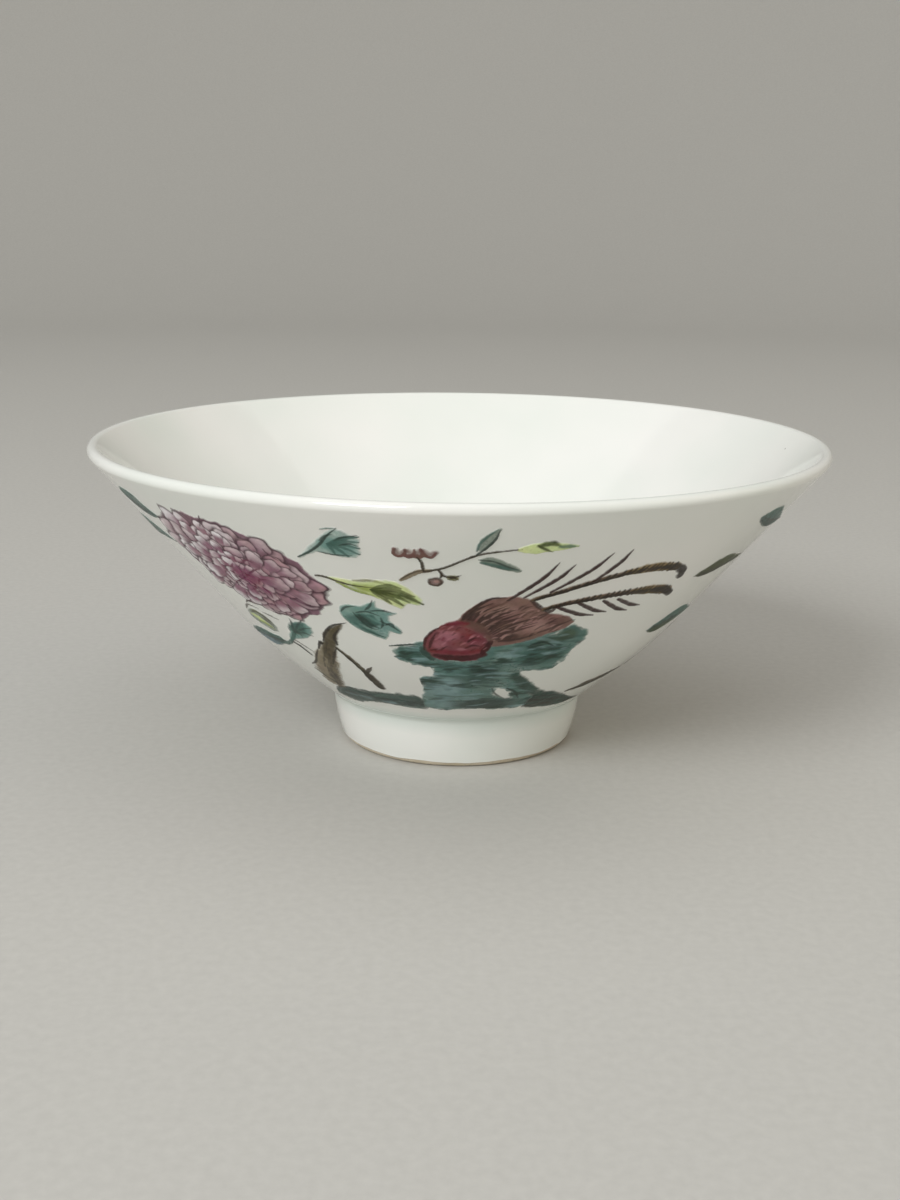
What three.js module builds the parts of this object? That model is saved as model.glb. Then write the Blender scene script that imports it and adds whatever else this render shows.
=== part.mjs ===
// A small conical porcelain tea bowl on a turned foot, painted outside with raised enamels.
// Millimetres, +Z up. The origin is on the axis, in the plane that the foot rests on.
// The garden scene is laid out on the outer wall in two numbers: an azimuth in degrees (0 faces -Y,
// growing towards +X) and a slant in millimetres, measured up the wall from where it leaves the foot.
import * as THREE from "three";

// Driving dimensions of the bowl
const RIM_RADIUS = 52.5;
const BOWL_HEIGHT = 44.5;
const LIP_RADIUS = 0.85;
const BELLY_RADIUS = 33.2;
const BELLY_HEIGHT = 21.0;
const FLOOR_HEIGHT = 10.9;
const FLOOR_RADIUS = 9.2;
const FLOOR_CURVE_RADIUS = 26.8;
const LATHE_SEGMENTS = 72;

// Driving dimensions of the foot
const FOOT_HEIGHT = 7.5;
const FOOT_TOP_RADIUS = 18.4;
const FOOT_BOTTOM_RADIUS = 17.0;
const FOOT_TOP_BORE = 13.5;
const FOOT_BOTTOM_BORE = 14.2;
const FOOT_RIM_HEIGHT = 0.8;
const CONTACT_INNER_RADIUS = 14.9;
const CONTACT_OUTER_RADIUS = 15.9;
const JOINT_GAP = 0.05;

// Enamel laid on the glaze
const ENAMEL_GAP = 0.1;
const ENAMEL_THICKNESS = 0.14;
const CUT_SPACING = [360 / LATHE_SEGMENTS, 7.5];
const SNAP_REACH = 0.02;
const SHEET_MM_PER_DEGREE = 0.6;
const OUTLINE_STEP = 1.3;
const SAME_POINT = 1e-5;

const DEGREE = Math.PI / 180;

function finish(colour, roughness, metalness = 0) {
  return new THREE.MeshStandardMaterial({ color: colour, roughness, metalness });
}

const PORCELAIN = finish(0xe9ebe2, 0.12);
const BISCUIT = finish(0xb9a68c, 0.85);
const PEONY_PINK = finish(0xc58fa4, 0.3);
const LEAF_TEAL = finish(0x5f8f80, 0.3);
const LEAF_LIME = finish(0x9aa845, 0.3);
const LEAF_DARK = finish(0x3f4c35, 0.3);
const BARK_BROWN = finish(0x6c5b49, 0.35);
const ROCK_TEAL = finish(0x5b7f74, 0.3);
const GROUND_GREY = finish(0x6f8078, 0.3);
const CRIMSON = finish(0x8c3346, 0.3);
const PLUME_BROWN = finish(0x7a5450, 0.35);
const FEATHER_DARK = finish(0x4b3d2c, 0.35);
const WING_BLUE = finish(0x6d86a5, 0.3);

const bowl = new THREE.Group();

function addPiece(name, geometry, material) {
  const mesh = new THREE.Mesh(geometry, material);
  mesh.name = name;
  bowl.add(mesh);
}

// ---- The wall's outer profile, which the enamels follow too ----

const lipCentre = new THREE.Vector2(RIM_RADIUS - LIP_RADIUS, BOWL_HEIGHT - LIP_RADIUS);
const wallSlope = new THREE.Vector2(RIM_RADIUS - BELLY_RADIUS, BOWL_HEIGHT - 1.1 - BELLY_HEIGHT).normalize();
const outward = new THREE.Vector2(wallSlope.y, -wallSlope.x);
const lipStart = lipCentre.clone().addScaledVector(outward, LIP_RADIUS);

function outerProfile() {
  const path = new THREE.Path();
  path.moveTo(FOOT_TOP_RADIUS + 0.2, FOOT_HEIGHT);
  path.quadraticCurveTo(27.5, 14.4, BELLY_RADIUS, BELLY_HEIGHT);
  path.lineTo(lipStart.x, lipStart.y);
  return path;
}

const outerWall = outerProfile();
const slantLength = outerWall.getLength();

function wallRadius(slant) {
  return outerWall.getPointAt(slant / slantLength).x;
}

// The point that stands off the wall by a small distance, at an azimuth and a slant.
function wallPoint(azimuth, slant, standoff) {
  const share = THREE.MathUtils.clamp(slant / slantLength, 0, 1);
  const base = outerWall.getPointAt(share);
  const tangent = outerWall.getTangentAt(share);
  const radius = base.x + tangent.y * standoff;
  const height = base.y - tangent.x * standoff;
  const angle = azimuth * DEGREE;
  return new THREE.Vector3(radius * Math.sin(angle), -radius * Math.cos(angle), height);
}

// ---- The clay body ----

// Turns a profile of radius and height about +Z.
function turn(path, divisions) {
  return new THREE.LatheGeometry(path.getPoints(divisions), LATHE_SEGMENTS).rotateX(90 * DEGREE);
}

function makeBowlWall() {
  const path = new THREE.Path();
  path.moveTo(0, FOOT_HEIGHT);
  path.lineTo(FOOT_TOP_RADIUS + 0.2, FOOT_HEIGHT);
  path.quadraticCurveTo(27.5, 14.4, BELLY_RADIUS, BELLY_HEIGHT);
  path.lineTo(lipStart.x, lipStart.y);
  const outwardAngle = Math.atan2(outward.y, outward.x);
  path.absarc(lipCentre.x, lipCentre.y, LIP_RADIUS, outwardAngle, outwardAngle + Math.PI, false);
  const curveCentre = new THREE.Vector2(FLOOR_RADIUS, FLOOR_HEIGHT + FLOOR_CURVE_RADIUS);
  path.absarc(curveCentre.x, curveCentre.y, FLOOR_CURVE_RADIUS, -42 * DEGREE, -90 * DEGREE, true);
  path.lineTo(0, FLOOR_HEIGHT);
  return turn(path, 5);
}

function makeFootRing() {
  const top = FOOT_HEIGHT - JOINT_GAP;
  const bottom = FOOT_RIM_HEIGHT + JOINT_GAP;
  const path = new THREE.Path();
  path.moveTo(FOOT_BOTTOM_BORE, bottom);
  path.lineTo(FOOT_BOTTOM_RADIUS, bottom);
  path.quadraticCurveTo(FOOT_TOP_RADIUS - 0.4, 3.6, FOOT_TOP_RADIUS, top);
  path.lineTo(FOOT_TOP_BORE, top);
  path.lineTo(FOOT_BOTTOM_BORE, bottom);
  return turn(path, 5);
}

function makeFootRim() {
  const path = new THREE.Path();
  path.moveTo(CONTACT_INNER_RADIUS, 0);
  path.lineTo(CONTACT_OUTER_RADIUS, 0);
  path.quadraticCurveTo(FOOT_BOTTOM_RADIUS - 0.15, 0.05, FOOT_BOTTOM_RADIUS, FOOT_RIM_HEIGHT);
  path.lineTo(FOOT_BOTTOM_BORE, FOOT_RIM_HEIGHT);
  path.quadraticCurveTo(FOOT_BOTTOM_BORE + 0.05, 0.05, CONTACT_INNER_RADIUS, 0);
  return turn(path, 3);
}

// ---- Enamel shapes, as outlines in azimuth and slant ----

function moveOnWall([azimuth, slant], across, up) {
  return [azimuth + across / (wallRadius(slant) * DEGREE), slant + up];
}

// A smooth closed outline through a few corner points.
function smoothOutline(corners) {
  const knots = corners.map(([azimuth, slant]) => new THREE.Vector3(azimuth * SHEET_MM_PER_DEGREE, slant, 0));
  const curve = new THREE.CatmullRomCurve3(knots, true, "centripetal");
  const count = Math.max(10, Math.round(curve.getLength() / OUTLINE_STEP));
  return curve.getSpacedPoints(count).slice(0, count).map((p) => [p.x / SHEET_MM_PER_DEGREE, p.y]);
}

// A brush stroke: a smooth line whose half-width in millimetres varies along it.
function strokeOutline(line, halfWidth, steps = 8) {
  const curve = new THREE.SplineCurve(line.map(([azimuth, slant]) => new THREE.Vector2(azimuth, slant)));
  const left = [];
  const right = [];
  for (let i = 0; i <= steps; i++) {
    const share = i / steps;
    const point = curve.getPoint(share);
    const tangent = curve.getTangent(share);
    const along = new THREE.Vector2(tangent.x * wallRadius(point.y) * DEGREE, tangent.y).normalize();
    const half = halfWidth(share);
    left.push(moveOnWall([point.x, point.y], -along.y * half, along.x * half));
    right.push(moveOnWall([point.x, point.y], along.y * half, -along.x * half));
  }
  return left.concat(right.reverse());
}

const evenStroke = (half) => () => half;
const taperedStroke = (start, end) => (share) => start + (end - start) * share;
const leafStroke = (half) => (share) => 0.1 + (half - 0.1) * Math.sin(Math.PI * Math.pow(share, 0.8));
const swellingStroke = (start, end) => (share) =>
  start + (end - start) * Math.pow(Math.sin(Math.PI * Math.min(share, 0.97) * 0.6), 2) - 0.6 * end * Math.pow(share, 14);

// A ruffled flower head: an ellipse, tilted on the wall, with one scallop for each outer petal.
function bloomOutline(centre, longHalf, shortHalf, tilt, petals, ruffle) {
  const steps = petals * 3;
  const outline = [];
  for (let i = 0; i < steps; i++) {
    const turn = (2 * Math.PI * i) / steps;
    const scallop = 1 + ruffle * Math.cos(petals * turn);
    const x = longHalf * Math.cos(turn) * scallop;
    const y = shortHalf * Math.sin(turn) * scallop;
    const across = x * Math.cos(tilt) - y * Math.sin(tilt);
    const up = x * Math.sin(tilt) + y * Math.cos(tilt);
    outline.push(moveOnWall(centre, across, up));
  }
  return outline;
}

// Moves a point onto a cutting line that it almost touches, so that no cut leaves a sliver.
function snap(point) {
  return point.map((value, axis) => {
    const line = Math.round(value / CUT_SPACING[axis]) * CUT_SPACING[axis];
    return Math.abs(value - line) < SNAP_REACH ? line : value;
  });
}

const samePoint = (a, b) => Math.abs(a[0] - b[0]) + Math.abs(a[1] - b[1]) < SAME_POINT;

// The part of a convex polygon on one side of a line of constant azimuth (axis 0) or slant (axis 1).
function keepSide(polygon, axis, limit, side) {
  const kept = [];
  polygon.forEach((here, i) => {
    const next = polygon[(i + 1) % polygon.length];
    const depthHere = side * (here[axis] - limit);
    const depthNext = side * (next[axis] - limit);
    if (depthHere >= 0) kept.push(here);
    if ((depthHere > 0 && depthNext < 0) || (depthHere < 0 && depthNext > 0)) {
      const share = depthHere / (depthHere - depthNext);
      const crossing = [here[0] + share * (next[0] - here[0]), here[1] + share * (next[1] - here[1])];
      crossing[axis] = limit;
      kept.push(snap(crossing));
    }
  });
  return kept.filter((point, i) => !samePoint(point, kept[(i + 1) % kept.length]));
}

// Cuts convex polygons along evenly spaced lines, so that no piece spans a bend of the wall.
function cutInBands(polygons, axis) {
  const spacing = CUT_SPACING[axis];
  const pieces = [];
  for (const polygon of polygons) {
    const reach = polygon.map((point) => point[axis]);
    const last = Math.ceil(Math.max(...reach) / spacing);
    for (let band = Math.floor(Math.min(...reach) / spacing); band < last; band++) {
      const lower = keepSide(polygon, axis, band * spacing, 1);
      const piece = keepSide(lower, axis, (band + 1) * spacing, -1);
      if (piece.length > 2) pieces.push(piece);
    }
  }
  return pieces;
}

// The triangles, in azimuth and slant, that fill an outline and follow the wall's facets.
function fillOutline(outline, openings) {
  const toPlane = ([azimuth, slant]) => new THREE.Vector2(azimuth, slant);
  const [edge, ...holes] = [outline, ...openings].map((ring) => ring.map(snap));
  const corners = [edge, ...holes].flat();
  const faces = THREE.ShapeUtils.triangulateShape(edge.map(toPlane), holes.map((hole) => hole.map(toPlane)));
  const whole = faces.map((face) => face.map((corner) => corners[corner]));
  const pieces = cutInBands(cutInBands(whole, 0), 1);
  const triangles = [];
  for (const piece of pieces) {
    for (let i = 1; i + 1 < piece.length; i++) {
      const [a, b, c] = [piece[0], piece[i], piece[i + 1]];
      const area = (b[0] - a[0]) * (c[1] - a[1]) - (c[0] - a[0]) * (b[1] - a[1]);
      if (Math.abs(area) > SAME_POINT) triangles.push(area > 0 ? [a, b, c] : [a, c, b]);
    }
  }
  return triangles;
}

// Turns an outline into a thin closed solid that lies on the wall.
function enamelPatch(outline, openings = []) {
  const triangles = fillOutline(outline, openings);
  const place = [];
  const addTriangle = (...points) => points.forEach((point) => place.push(point.x, point.y, point.z));
  const under = ([azimuth, slant]) => wallPoint(azimuth, slant, ENAMEL_GAP);
  const over = ([azimuth, slant]) => wallPoint(azimuth, slant, ENAMEL_GAP + ENAMEL_THICKNESS);
  const label = (point) => point.map((value) => value.toFixed(4)).join();
  const border = new Map();
  for (const [a, b, c] of triangles) {
    addTriangle(over(a), over(b), over(c));
    addTriangle(under(a), under(c), under(b));
    for (const [from, to] of [[a, b], [b, c], [c, a]]) {
      const twin = `${label(to)} ${label(from)}`;
      if (!border.delete(twin)) border.set(`${label(from)} ${label(to)}`, [from, to]);
    }
  }
  for (const [from, to] of border.values()) {
    addTriangle(under(from), under(to), over(to));
    addTriangle(under(from), over(to), over(from));
  }
  return new THREE.BufferGeometry().setAttribute("position", new THREE.Float32BufferAttribute(place, 3));
}

function addEnamel(name, outline, material, openings) {
  addPiece(name, enamelPatch(outline, openings), material);
}

// ---- The peony and its leaves ----

function addPeony() {
  addEnamel("peony_bloom", bloomOutline([-39.4, 35.2], 12.6, 9.2, -22 * DEGREE, 15, 0.035), PEONY_PINK);
  const leaves = {
    peony_leaf_top: [
      [-24.4, 39.4], [-22.3, 41.4], [-20.6, 42.8], [-18.4, 44.8], [-16.0, 46.2], [-15.6, 44.9],
      [-13.4, 44.4], [-14.3, 42.8], [-14.0, 41.0], [-17.0, 40.4], [-20.0, 41.2], [-22.3, 40.6],
    ],
    peony_leaf_low: [
      [-22.4, 28.8], [-20.5, 30.4], [-17.2, 30.4], [-14.4, 31.8], [-14.4, 30.0], [-11.0, 29.2],
      [-13.3, 28.4], [-12.2, 27.0], [-10.4, 24.8], [-13.4, 25.2], [-14.2, 23.2], [-17.0, 24.0], [-20.6, 25.6],
    ],
    peony_leaf_under: [
      [-42.2, 19.6], [-39.6, 21.9], [-37.2, 23.7], [-34.2, 24.6], [-32.0, 24.6], [-32.4, 22.6], [-35.0, 21.0], [-38.6, 20.2],
    ],
    peony_bract: [[-52.4, 22.6], [-50.6, 24.2], [-48.2, 24.8], [-45.4, 24.0], [-44.0, 22.0], [-45.6, 20.4], [-49.0, 20.9]],
    peony_leaf_long: [
      [-61.0, 18.4], [-57.6, 19.6], [-53.4, 20.0], [-49.4, 19.4], [-45.4, 19.0], [-47.4, 17.6], [-51.4, 16.4], [-55.6, 16.2],
    ],
    side_leaf_upper: [[-63.0, 45.2], [-59.8, 46.6], [-56.8, 46.0], [-55.6, 43.8], [-53.4, 42.0], [-56.8, 41.6], [-60.4, 42.6]],
    side_leaf_lower: [[-71.0, 38.6], [-66.4, 40.4], [-62.2, 39.9], [-56.8, 37.0], [-62.0, 36.9], [-67.0, 36.6]],
  };
  for (const [name, corners] of Object.entries(leaves)) {
    addEnamel(name, smoothOutline(corners), LEAF_TEAL);
  }
  addEnamel(
    "peony_leaf_lime",
    smoothOutline([
      [-22.2, 35.9], [-19.4, 35.9], [-15.0, 35.7], [-10.6, 36.3], [-8.2, 35.0], [-5.8, 31.6],
      [-8.2, 31.7], [-10.0, 30.4], [-12.4, 31.8], [-15.6, 33.4], [-19.0, 35.1],
    ]),
    LEAF_LIME,
  );
}

// ---- The old tree that carries the peony ----

function addTree() {
  addEnamel(
    "tree_trunk",
    smoothOutline([
      [-42.6, 8.7], [-41.2, 10.0], [-44.2, 11.8], [-42.0, 13.6], [-38.6, 15.6], [-34.8, 18.0], [-32.2, 19.4],
      [-32.4, 20.6], [-30.6, 20.7], [-28.6, 23.2], [-26.2, 24.8], [-23.0, 26.2], [-24.2, 24.4], [-27.1, 21.8],
      [-28.6, 19.2], [-30.2, 17.1], [-32.8, 14.3], [-35.4, 12.0], [-37.0, 9.7], [-38.6, 8.6],
    ]),
    BARK_BROWN,
  );
  addEnamel(
    "tree_twig",
    smoothOutline([
      [-27.8, 19.3], [-25.9, 18.1], [-24.2, 15.9], [-21.8, 16.1], [-21.9, 14.0], [-20.9, 10.4],
      [-22.9, 10.0], [-24.3, 12.7], [-25.6, 15.7], [-27.4, 17.8],
    ]),
    BARK_BROWN,
  );
  addEnamel("tree_shoot", strokeOutline([[-41.0, 18.9], [-39.8, 17.8], [-39.2, 16.4]], evenStroke(0.22), 4), BARK_BROWN);
}

// ---- The ground and the pierced garden rock ----

function addGround() {
  addEnamel(
    "ground_left",
    smoothOutline([
      [-48.0, 4.4], [-44.0, 6.4], [-39.0, 7.8], [-31.0, 8.0], [-23.8, 8.4], [-17.0, 8.7], [-11.4, 8.3],
      [-11.0, 5.0], [-16.0, 4.4], [-24.0, 4.9], [-31.0, 4.7], [-37.0, 3.7], [-42.5, 3.4],
    ]),
    GROUND_GREY,
  );
  addEnamel(
    "ground_right",
    smoothOutline([
      [24.9, 8.4], [30.5, 8.6], [35.0, 7.3], [40.0, 5.9], [46.0, 4.3], [54.2, 3.4],
      [46.0, 2.5], [39.0, 2.8], [30.5, 3.7], [24.9, 4.4],
    ]),
    GROUND_GREY,
  );
  addEnamel("ground_root", strokeOutline([[38.0, 7.6], [46.0, 8.9], [54.0, 9.9], [60.0, 10.4]], leafStroke(0.9)), BARK_BROWN);
  addEnamel(
    "garden_rock",
    smoothOutline([
      [-14.0, 19.4], [-13.0, 21.2], [-10.5, 22.2], [-8.0, 22.3], [-7.4, 20.4], [-5.6, 18.8], [0.0, 18.6], [5.0, 18.7],
      [7.2, 20.0], [8.4, 21.9], [12.4, 22.6], [16.4, 23.9], [20.6, 24.6], [22.6, 26.2], [25.4, 25.4], [27.8, 23.3],
      [26.6, 20.6], [25.2, 17.6], [23.6, 15.9], [19.6, 15.8], [15.0, 15.8], [17.0, 14.0], [20.9, 12.0], [23.2, 9.6],
      [23.4, 4.6], [15.0, 4.7], [7.0, 5.0], [0.0, 4.7], [-9.6, 4.8], [-10.0, 8.4], [-9.0, 11.3], [-9.2, 14.2],
      [-5.4, 15.4], [-5.6, 17.2], [-10.0, 18.2],
    ]),
    ROCK_TEAL,
    [smoothOutline([[10.0, 11.6], [12.4, 11.6], [15.2, 10.2], [17.0, 8.2], [14.6, 8.2], [11.6, 9.4]])],
  );
}

// ---- The pheasant on the rock ----

function addPheasant() {
  addEnamel(
    "pheasant_breast",
    smoothOutline([
      [-6.8, 22.7], [-5.9, 25.0], [-3.2, 27.0], [-0.4, 27.6], [2.4, 26.4], [4.6, 25.0], [6.2, 23.4],
      [6.2, 20.8], [4.4, 19.4], [0.0, 19.2], [-4.4, 19.4], [-6.0, 20.4],
    ]),
    CRIMSON,
  );
  addEnamel(
    "pheasant_body",
    smoothOutline([
      [0.4, 28.2], [1.4, 29.9], [3.6, 31.8], [6.6, 33.0], [9.8, 33.2], [12.8, 32.0], [14.2, 30.4], [17.0, 29.2],
      [20.4, 28.4], [22.4, 27.0], [20.2, 25.4], [15.6, 24.6], [12.2, 23.4], [8.8, 22.9], [7.2, 23.8], [5.6, 25.6], [3.2, 27.2],
    ]),
    PLUME_BROWN,
  );
  addEnamel(
    "tail_feather_upper",
    strokeOutline(
      [[14.2, 32.9], [20.0, 35.1], [26.0, 36.5], [31.0, 37.1], [35.0, 36.8], [38.4, 35.8], [41.0, 34.3]],
      swellingStroke(0.3, 0.75),
      12,
    ),
    FEATHER_DARK,
  );
  addEnamel(
    "tail_feather_lower",
    strokeOutline(
      [[16.6, 30.7], [20.0, 31.1], [26.0, 31.6], [32.0, 32.0], [37.0, 31.8], [40.0, 31.2], [42.6, 30.5]],
      swellingStroke(0.4, 0.85),
      12,
    ),
    FEATHER_DARK,
  );
  const plumes = [
    [[9.4, 34.2], [14.9, 39.5]],
    [[13.4, 34.6], [17.3, 39.2]],
    [[17.7, 35.5], [22.7, 41.0]],
    [[22.9, 37.1], [26.2, 41.2]],
    [[19.6, 29.7], [25.8, 28.0]],
    [[23.2, 30.2], [28.6, 28.7]],
    [[28.8, 30.5], [33.4, 28.1]],
    [[31.7, 30.7], [36.0, 28.8]],
  ];
  plumes.forEach((line, i) => {
    addEnamel(`tail_plume_${i + 1}`, strokeOutline(line, taperedStroke(0.3, 0.16), 2), FEATHER_DARK);
  });
}

// ---- The flowering sprig above the bird ----

function addSprig() {
  addEnamel(
    "sprig_stem",
    strokeOutline([[-8.6, 36.5], [-4.4, 38.4], [-0.6, 40.5], [3.0, 41.9], [7.8, 42.8]], taperedStroke(0.34, 0.18)),
    BARK_BROWN,
  );
  addEnamel(
    "sprig_flower",
    smoothOutline([
      [-9.2, 42.0], [-8.4, 43.0], [-6.6, 42.7], [-4.8, 43.0], [-3.0, 42.5], [-3.4, 41.5], [-5.0, 41.2],
      [-5.0, 39.2], [-5.5, 39.2], [-5.7, 41.1], [-7.8, 41.0],
    ]),
    BARK_BROWN,
  );
  addEnamel("sprig_berry", bloomOutline([-3.5, 36.4], 0.95, 0.95, 0, 5, 0.05), BARK_BROWN);
  addEnamel("sprig_bud", bloomOutline([-0.8, 37.3], 0.8, 0.6, 0, 5, 0.05), BARK_BROWN);
  addEnamel("sprig_leaf_upper", strokeOutline([[3.0, 42.5], [3.9, 44.6], [5.5, 46.9]], leafStroke(0.75)), LEAF_TEAL);
  addEnamel("sprig_leaf_lower", strokeOutline([[3.2, 41.1], [6.2, 39.9], [9.5, 38.5]], leafStroke(0.8)), LEAF_TEAL);
  addEnamel("sprig_leaf_tip", strokeOutline([[8.4, 42.8], [12.4, 43.1], [16.8, 43.1]], leafStroke(1.0)), LEAF_LIME);
}

// ---- The second branch, which climbs the side and blooms on the back ----

function addSideBranch() {
  addEnamel(
    "branch_stem",
    strokeOutline([[62.0, 10.8], [70.0, 14.6], [76.0, 21.0], [80.0, 28.0], [87.0, 33.0]], taperedStroke(0.8, 0.35), 12),
    BARK_BROWN,
  );
  addEnamel("branch_bloom", bloomOutline([99.0, 35.4], 8.6, 7.4, 14 * DEGREE, 11, 0.04), PEONY_PINK);
  const leaves = {
    branch_leaf_1: [[51.4, 43.9], [54.0, 44.8], [57.0, 45.2], [61.0, 43.0], [66.0, 40.6], [61.0, 40.4], [56.0, 41.4]],
    branch_leaf_2: [[46.6, 33.0], [50.0, 35.2], [53.6, 36.2], [57.0, 35.6], [62.0, 34.4], [56.0, 33.4], [51.0, 32.6]],
    branch_leaf_3: [[47.8, 21.4], [51.0, 23.4], [55.0, 25.2], [60.0, 24.6], [64.0, 22.8], [58.0, 21.0], [52.0, 20.2]],
    branch_leaf_4: [[82.0, 23.0], [86.0, 25.4], [91.0, 25.6], [96.0, 23.4], [91.0, 21.6], [86.0, 21.2]],
    branch_leaf_5: [[113.0, 33.0], [117.0, 36.2], [122.0, 37.4], [127.0, 36.2], [122.0, 33.0], [117.0, 31.8]],
  };
  for (const [name, corners] of Object.entries(leaves)) {
    addEnamel(name, smoothOutline(corners), LEAF_DARK);
  }
}

// ---- The butterfly on the back ----

function addButterfly() {
  const [azimuth, slant] = [176.0, 33.0];
  addEnamel("butterfly_body", strokeOutline([[azimuth - 2.4, slant - 2.4], [azimuth + 2.4, slant + 2.2]], leafStroke(0.45)), BARK_BROWN);
  const wings = {
    butterfly_wing_1: [[-0.2, 1.2], [-1.6, 3.6], [-0.4, 6.2], [2.2, 6.8], [2.0, 3.4]],
    butterfly_wing_2: [[2.6, -0.4], [5.0, -1.6], [8.2, -0.6], [8.8, 1.8], [5.4, 2.2]],
    butterfly_wing_3: [[-2.0, 0.2], [-4.4, 1.4], [-6.2, 0.6], [-5.4, -1.0], [-3.6, -1.4]],
    butterfly_wing_4: [[0.2, -2.0], [0.8, -4.4], [-0.6, -5.6], [-2.4, -4.6], [-1.8, -3.0]],
  };
  for (const [name, corners] of Object.entries(wings)) {
    const outline = smoothOutline(corners.map(([across, up]) => moveOnWall([azimuth, slant], across, up)));
    addEnamel(name, outline, WING_BLUE);
  }
}

addPiece("bowl_wall", makeBowlWall(), PORCELAIN);
addPiece("foot_ring", makeFootRing(), PORCELAIN);
addPiece("foot_rim", makeFootRim(), BISCUIT);
addPeony();
addTree();
addGround();
addPheasant();
addSprig();
addSideBranch();
addButterfly();

export default bowl;
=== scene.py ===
"""A conical porcelain tea bowl with raised enamel painting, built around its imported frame.

Shapes are worked out in millimetres and turned into metres when a mesh is made. The outer wall is
mapped by an azimuth in degrees (0 faces -Y, growing towards +X) and a slant, the distance up the wall
from where it leaves the foot. Each enamel motif is painted on a fine grid that lies on the wall
around its CAD node: brush strokes give every grid point a colour, a cover and a relief.
"""

import math

import bpy
import numpy as np
from mathutils import Matrix, Vector


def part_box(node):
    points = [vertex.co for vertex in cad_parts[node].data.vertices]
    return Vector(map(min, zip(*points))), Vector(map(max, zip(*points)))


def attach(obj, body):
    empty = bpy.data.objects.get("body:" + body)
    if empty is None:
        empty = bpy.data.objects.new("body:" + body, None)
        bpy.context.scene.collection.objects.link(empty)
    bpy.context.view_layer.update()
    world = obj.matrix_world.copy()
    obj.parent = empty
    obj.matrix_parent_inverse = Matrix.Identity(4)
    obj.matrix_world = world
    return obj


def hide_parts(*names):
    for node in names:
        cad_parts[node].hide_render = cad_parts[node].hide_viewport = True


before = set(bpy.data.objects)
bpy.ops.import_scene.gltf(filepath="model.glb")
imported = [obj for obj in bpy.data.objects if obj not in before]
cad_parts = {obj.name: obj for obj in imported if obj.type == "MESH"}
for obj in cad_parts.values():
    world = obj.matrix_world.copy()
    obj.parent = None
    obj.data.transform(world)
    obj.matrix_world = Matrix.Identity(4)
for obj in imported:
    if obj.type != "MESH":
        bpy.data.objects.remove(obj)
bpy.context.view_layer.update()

MM = 0.001
DEGREE = math.pi / 180.0
BODY = "root"


def corners_mm(node):
    low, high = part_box(node)
    return np.array(low) / MM, np.array(high) / MM


# ---- Sizes ----

wall_low, wall_high = corners_mm("bowl_wall")
ring_low, ring_high = corners_mm("foot_ring")
rim_low, rim_high = corners_mm("foot_rim")

RIM_RADIUS = wall_high[0]
BOWL_HEIGHT = wall_high[2]
FOOT_HEIGHT = wall_low[2]
FOOT_TOP_RADIUS = ring_high[0]
FOOT_BOTTOM_RADIUS = rim_high[0]
BISCUIT_HEIGHT = rim_high[2]
LIP_RADIUS = 0.85
LIP_DROP = 1.1
WALL_START = (FOOT_TOP_RADIUS + 0.2, FOOT_HEIGHT)
BELLY_PULL = (27.5, 14.4)
BELLY = (33.2, 21.0)
FLOOR_HEIGHT = 10.9
FLOOR_RADIUS = 9.2
FLOOR_CURVE_RADIUS = 26.8
WELL_TURN = 42.0 * DEGREE
FOOT_TOP_BORE = 13.5
FOOT_BOTTOM_BORE = 14.2
CONTACT_INNER_RADIUS = 14.9
CONTACT_OUTER_RADIUS = 15.9
GLAZE_EDGE = 0.07

# Unevenness of the surfaces
RIPPLE = 0.03
FOOT_RIPPLE = 0.02
GLAZE_WAVE = 0.14
GRIT_DEPTH = 0.015
GRIT_LIFT = 0.012

TURN_STEPS = 360
NOISE_CELLS = 64
NOISE_START = (17.3, 41.7)

# The enamel's grid and its heights over the glaze
GRID = 0.12
ENAMEL_HIGHEST = 0.2
ENAMEL_LOWEST = 0.03
COAT_STEP = 0.015
BURIED = -0.05
UNDERSIDE = -0.12
PAINTED = 0.04
EDGE_COVER = (0.02, 0.2)
FULL_COVER = 0.98
BRUSH_LOAD = 1.15
SEAM_PROBE = 0.08
SAME_POINT = 1e-6


# ---- Curves and noise ----


def bezier(start, pull, end, count):
    t = np.linspace(0.0, 1.0, count)[:, None]
    start, pull, end = (np.array(p, float) for p in (start, pull, end))
    return (1 - t) ** 2 * start + 2 * t * (1 - t) * pull + t**2 * end


def arc(centre, radius, first, last, count):
    turn = np.linspace(first, last, count)
    return np.stack([centre[0] + radius * np.cos(turn), centre[1] + radius * np.sin(turn)], 1)


def line(start, end, count=2):
    t = np.linspace(0.0, 1.0, count)[:, None]
    return (1 - t) * np.array(start, float) + t * np.array(end, float)


def joined(*stretches):
    """One polyline from several, without doubled points."""
    points = np.concatenate(stretches)
    step = np.hypot(*np.diff(points, axis=0).T)
    return points[np.concatenate([[True], step > SAME_POINT])]


def smooth_step(low, high, value):
    share = np.clip((value - low) / (high - low), 0.0, 1.0)
    return share * share * (3.0 - 2.0 * share)


def value_noise(x, y, size, seed):
    table = np.random.default_rng(seed).random((NOISE_CELLS, NOISE_CELLS)) * 2.0 - 1.0
    u, v = x / size + NOISE_START[0], y / size + NOISE_START[1]
    i, j = np.floor(u).astype(int), np.floor(v).astype(int)
    fu, fv = smooth_step(0.0, 1.0, u - i), smooth_step(0.0, 1.0, v - j)
    left, right, low, high = (k % NOISE_CELLS for k in (i, i + 1, j, j + 1))
    lower = table[left, low] * (1 - fu) + table[right, low] * fu
    upper = table[left, high] * (1 - fu) + table[right, high] * fu
    return lower * (1 - fv) + upper * fv


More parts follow.
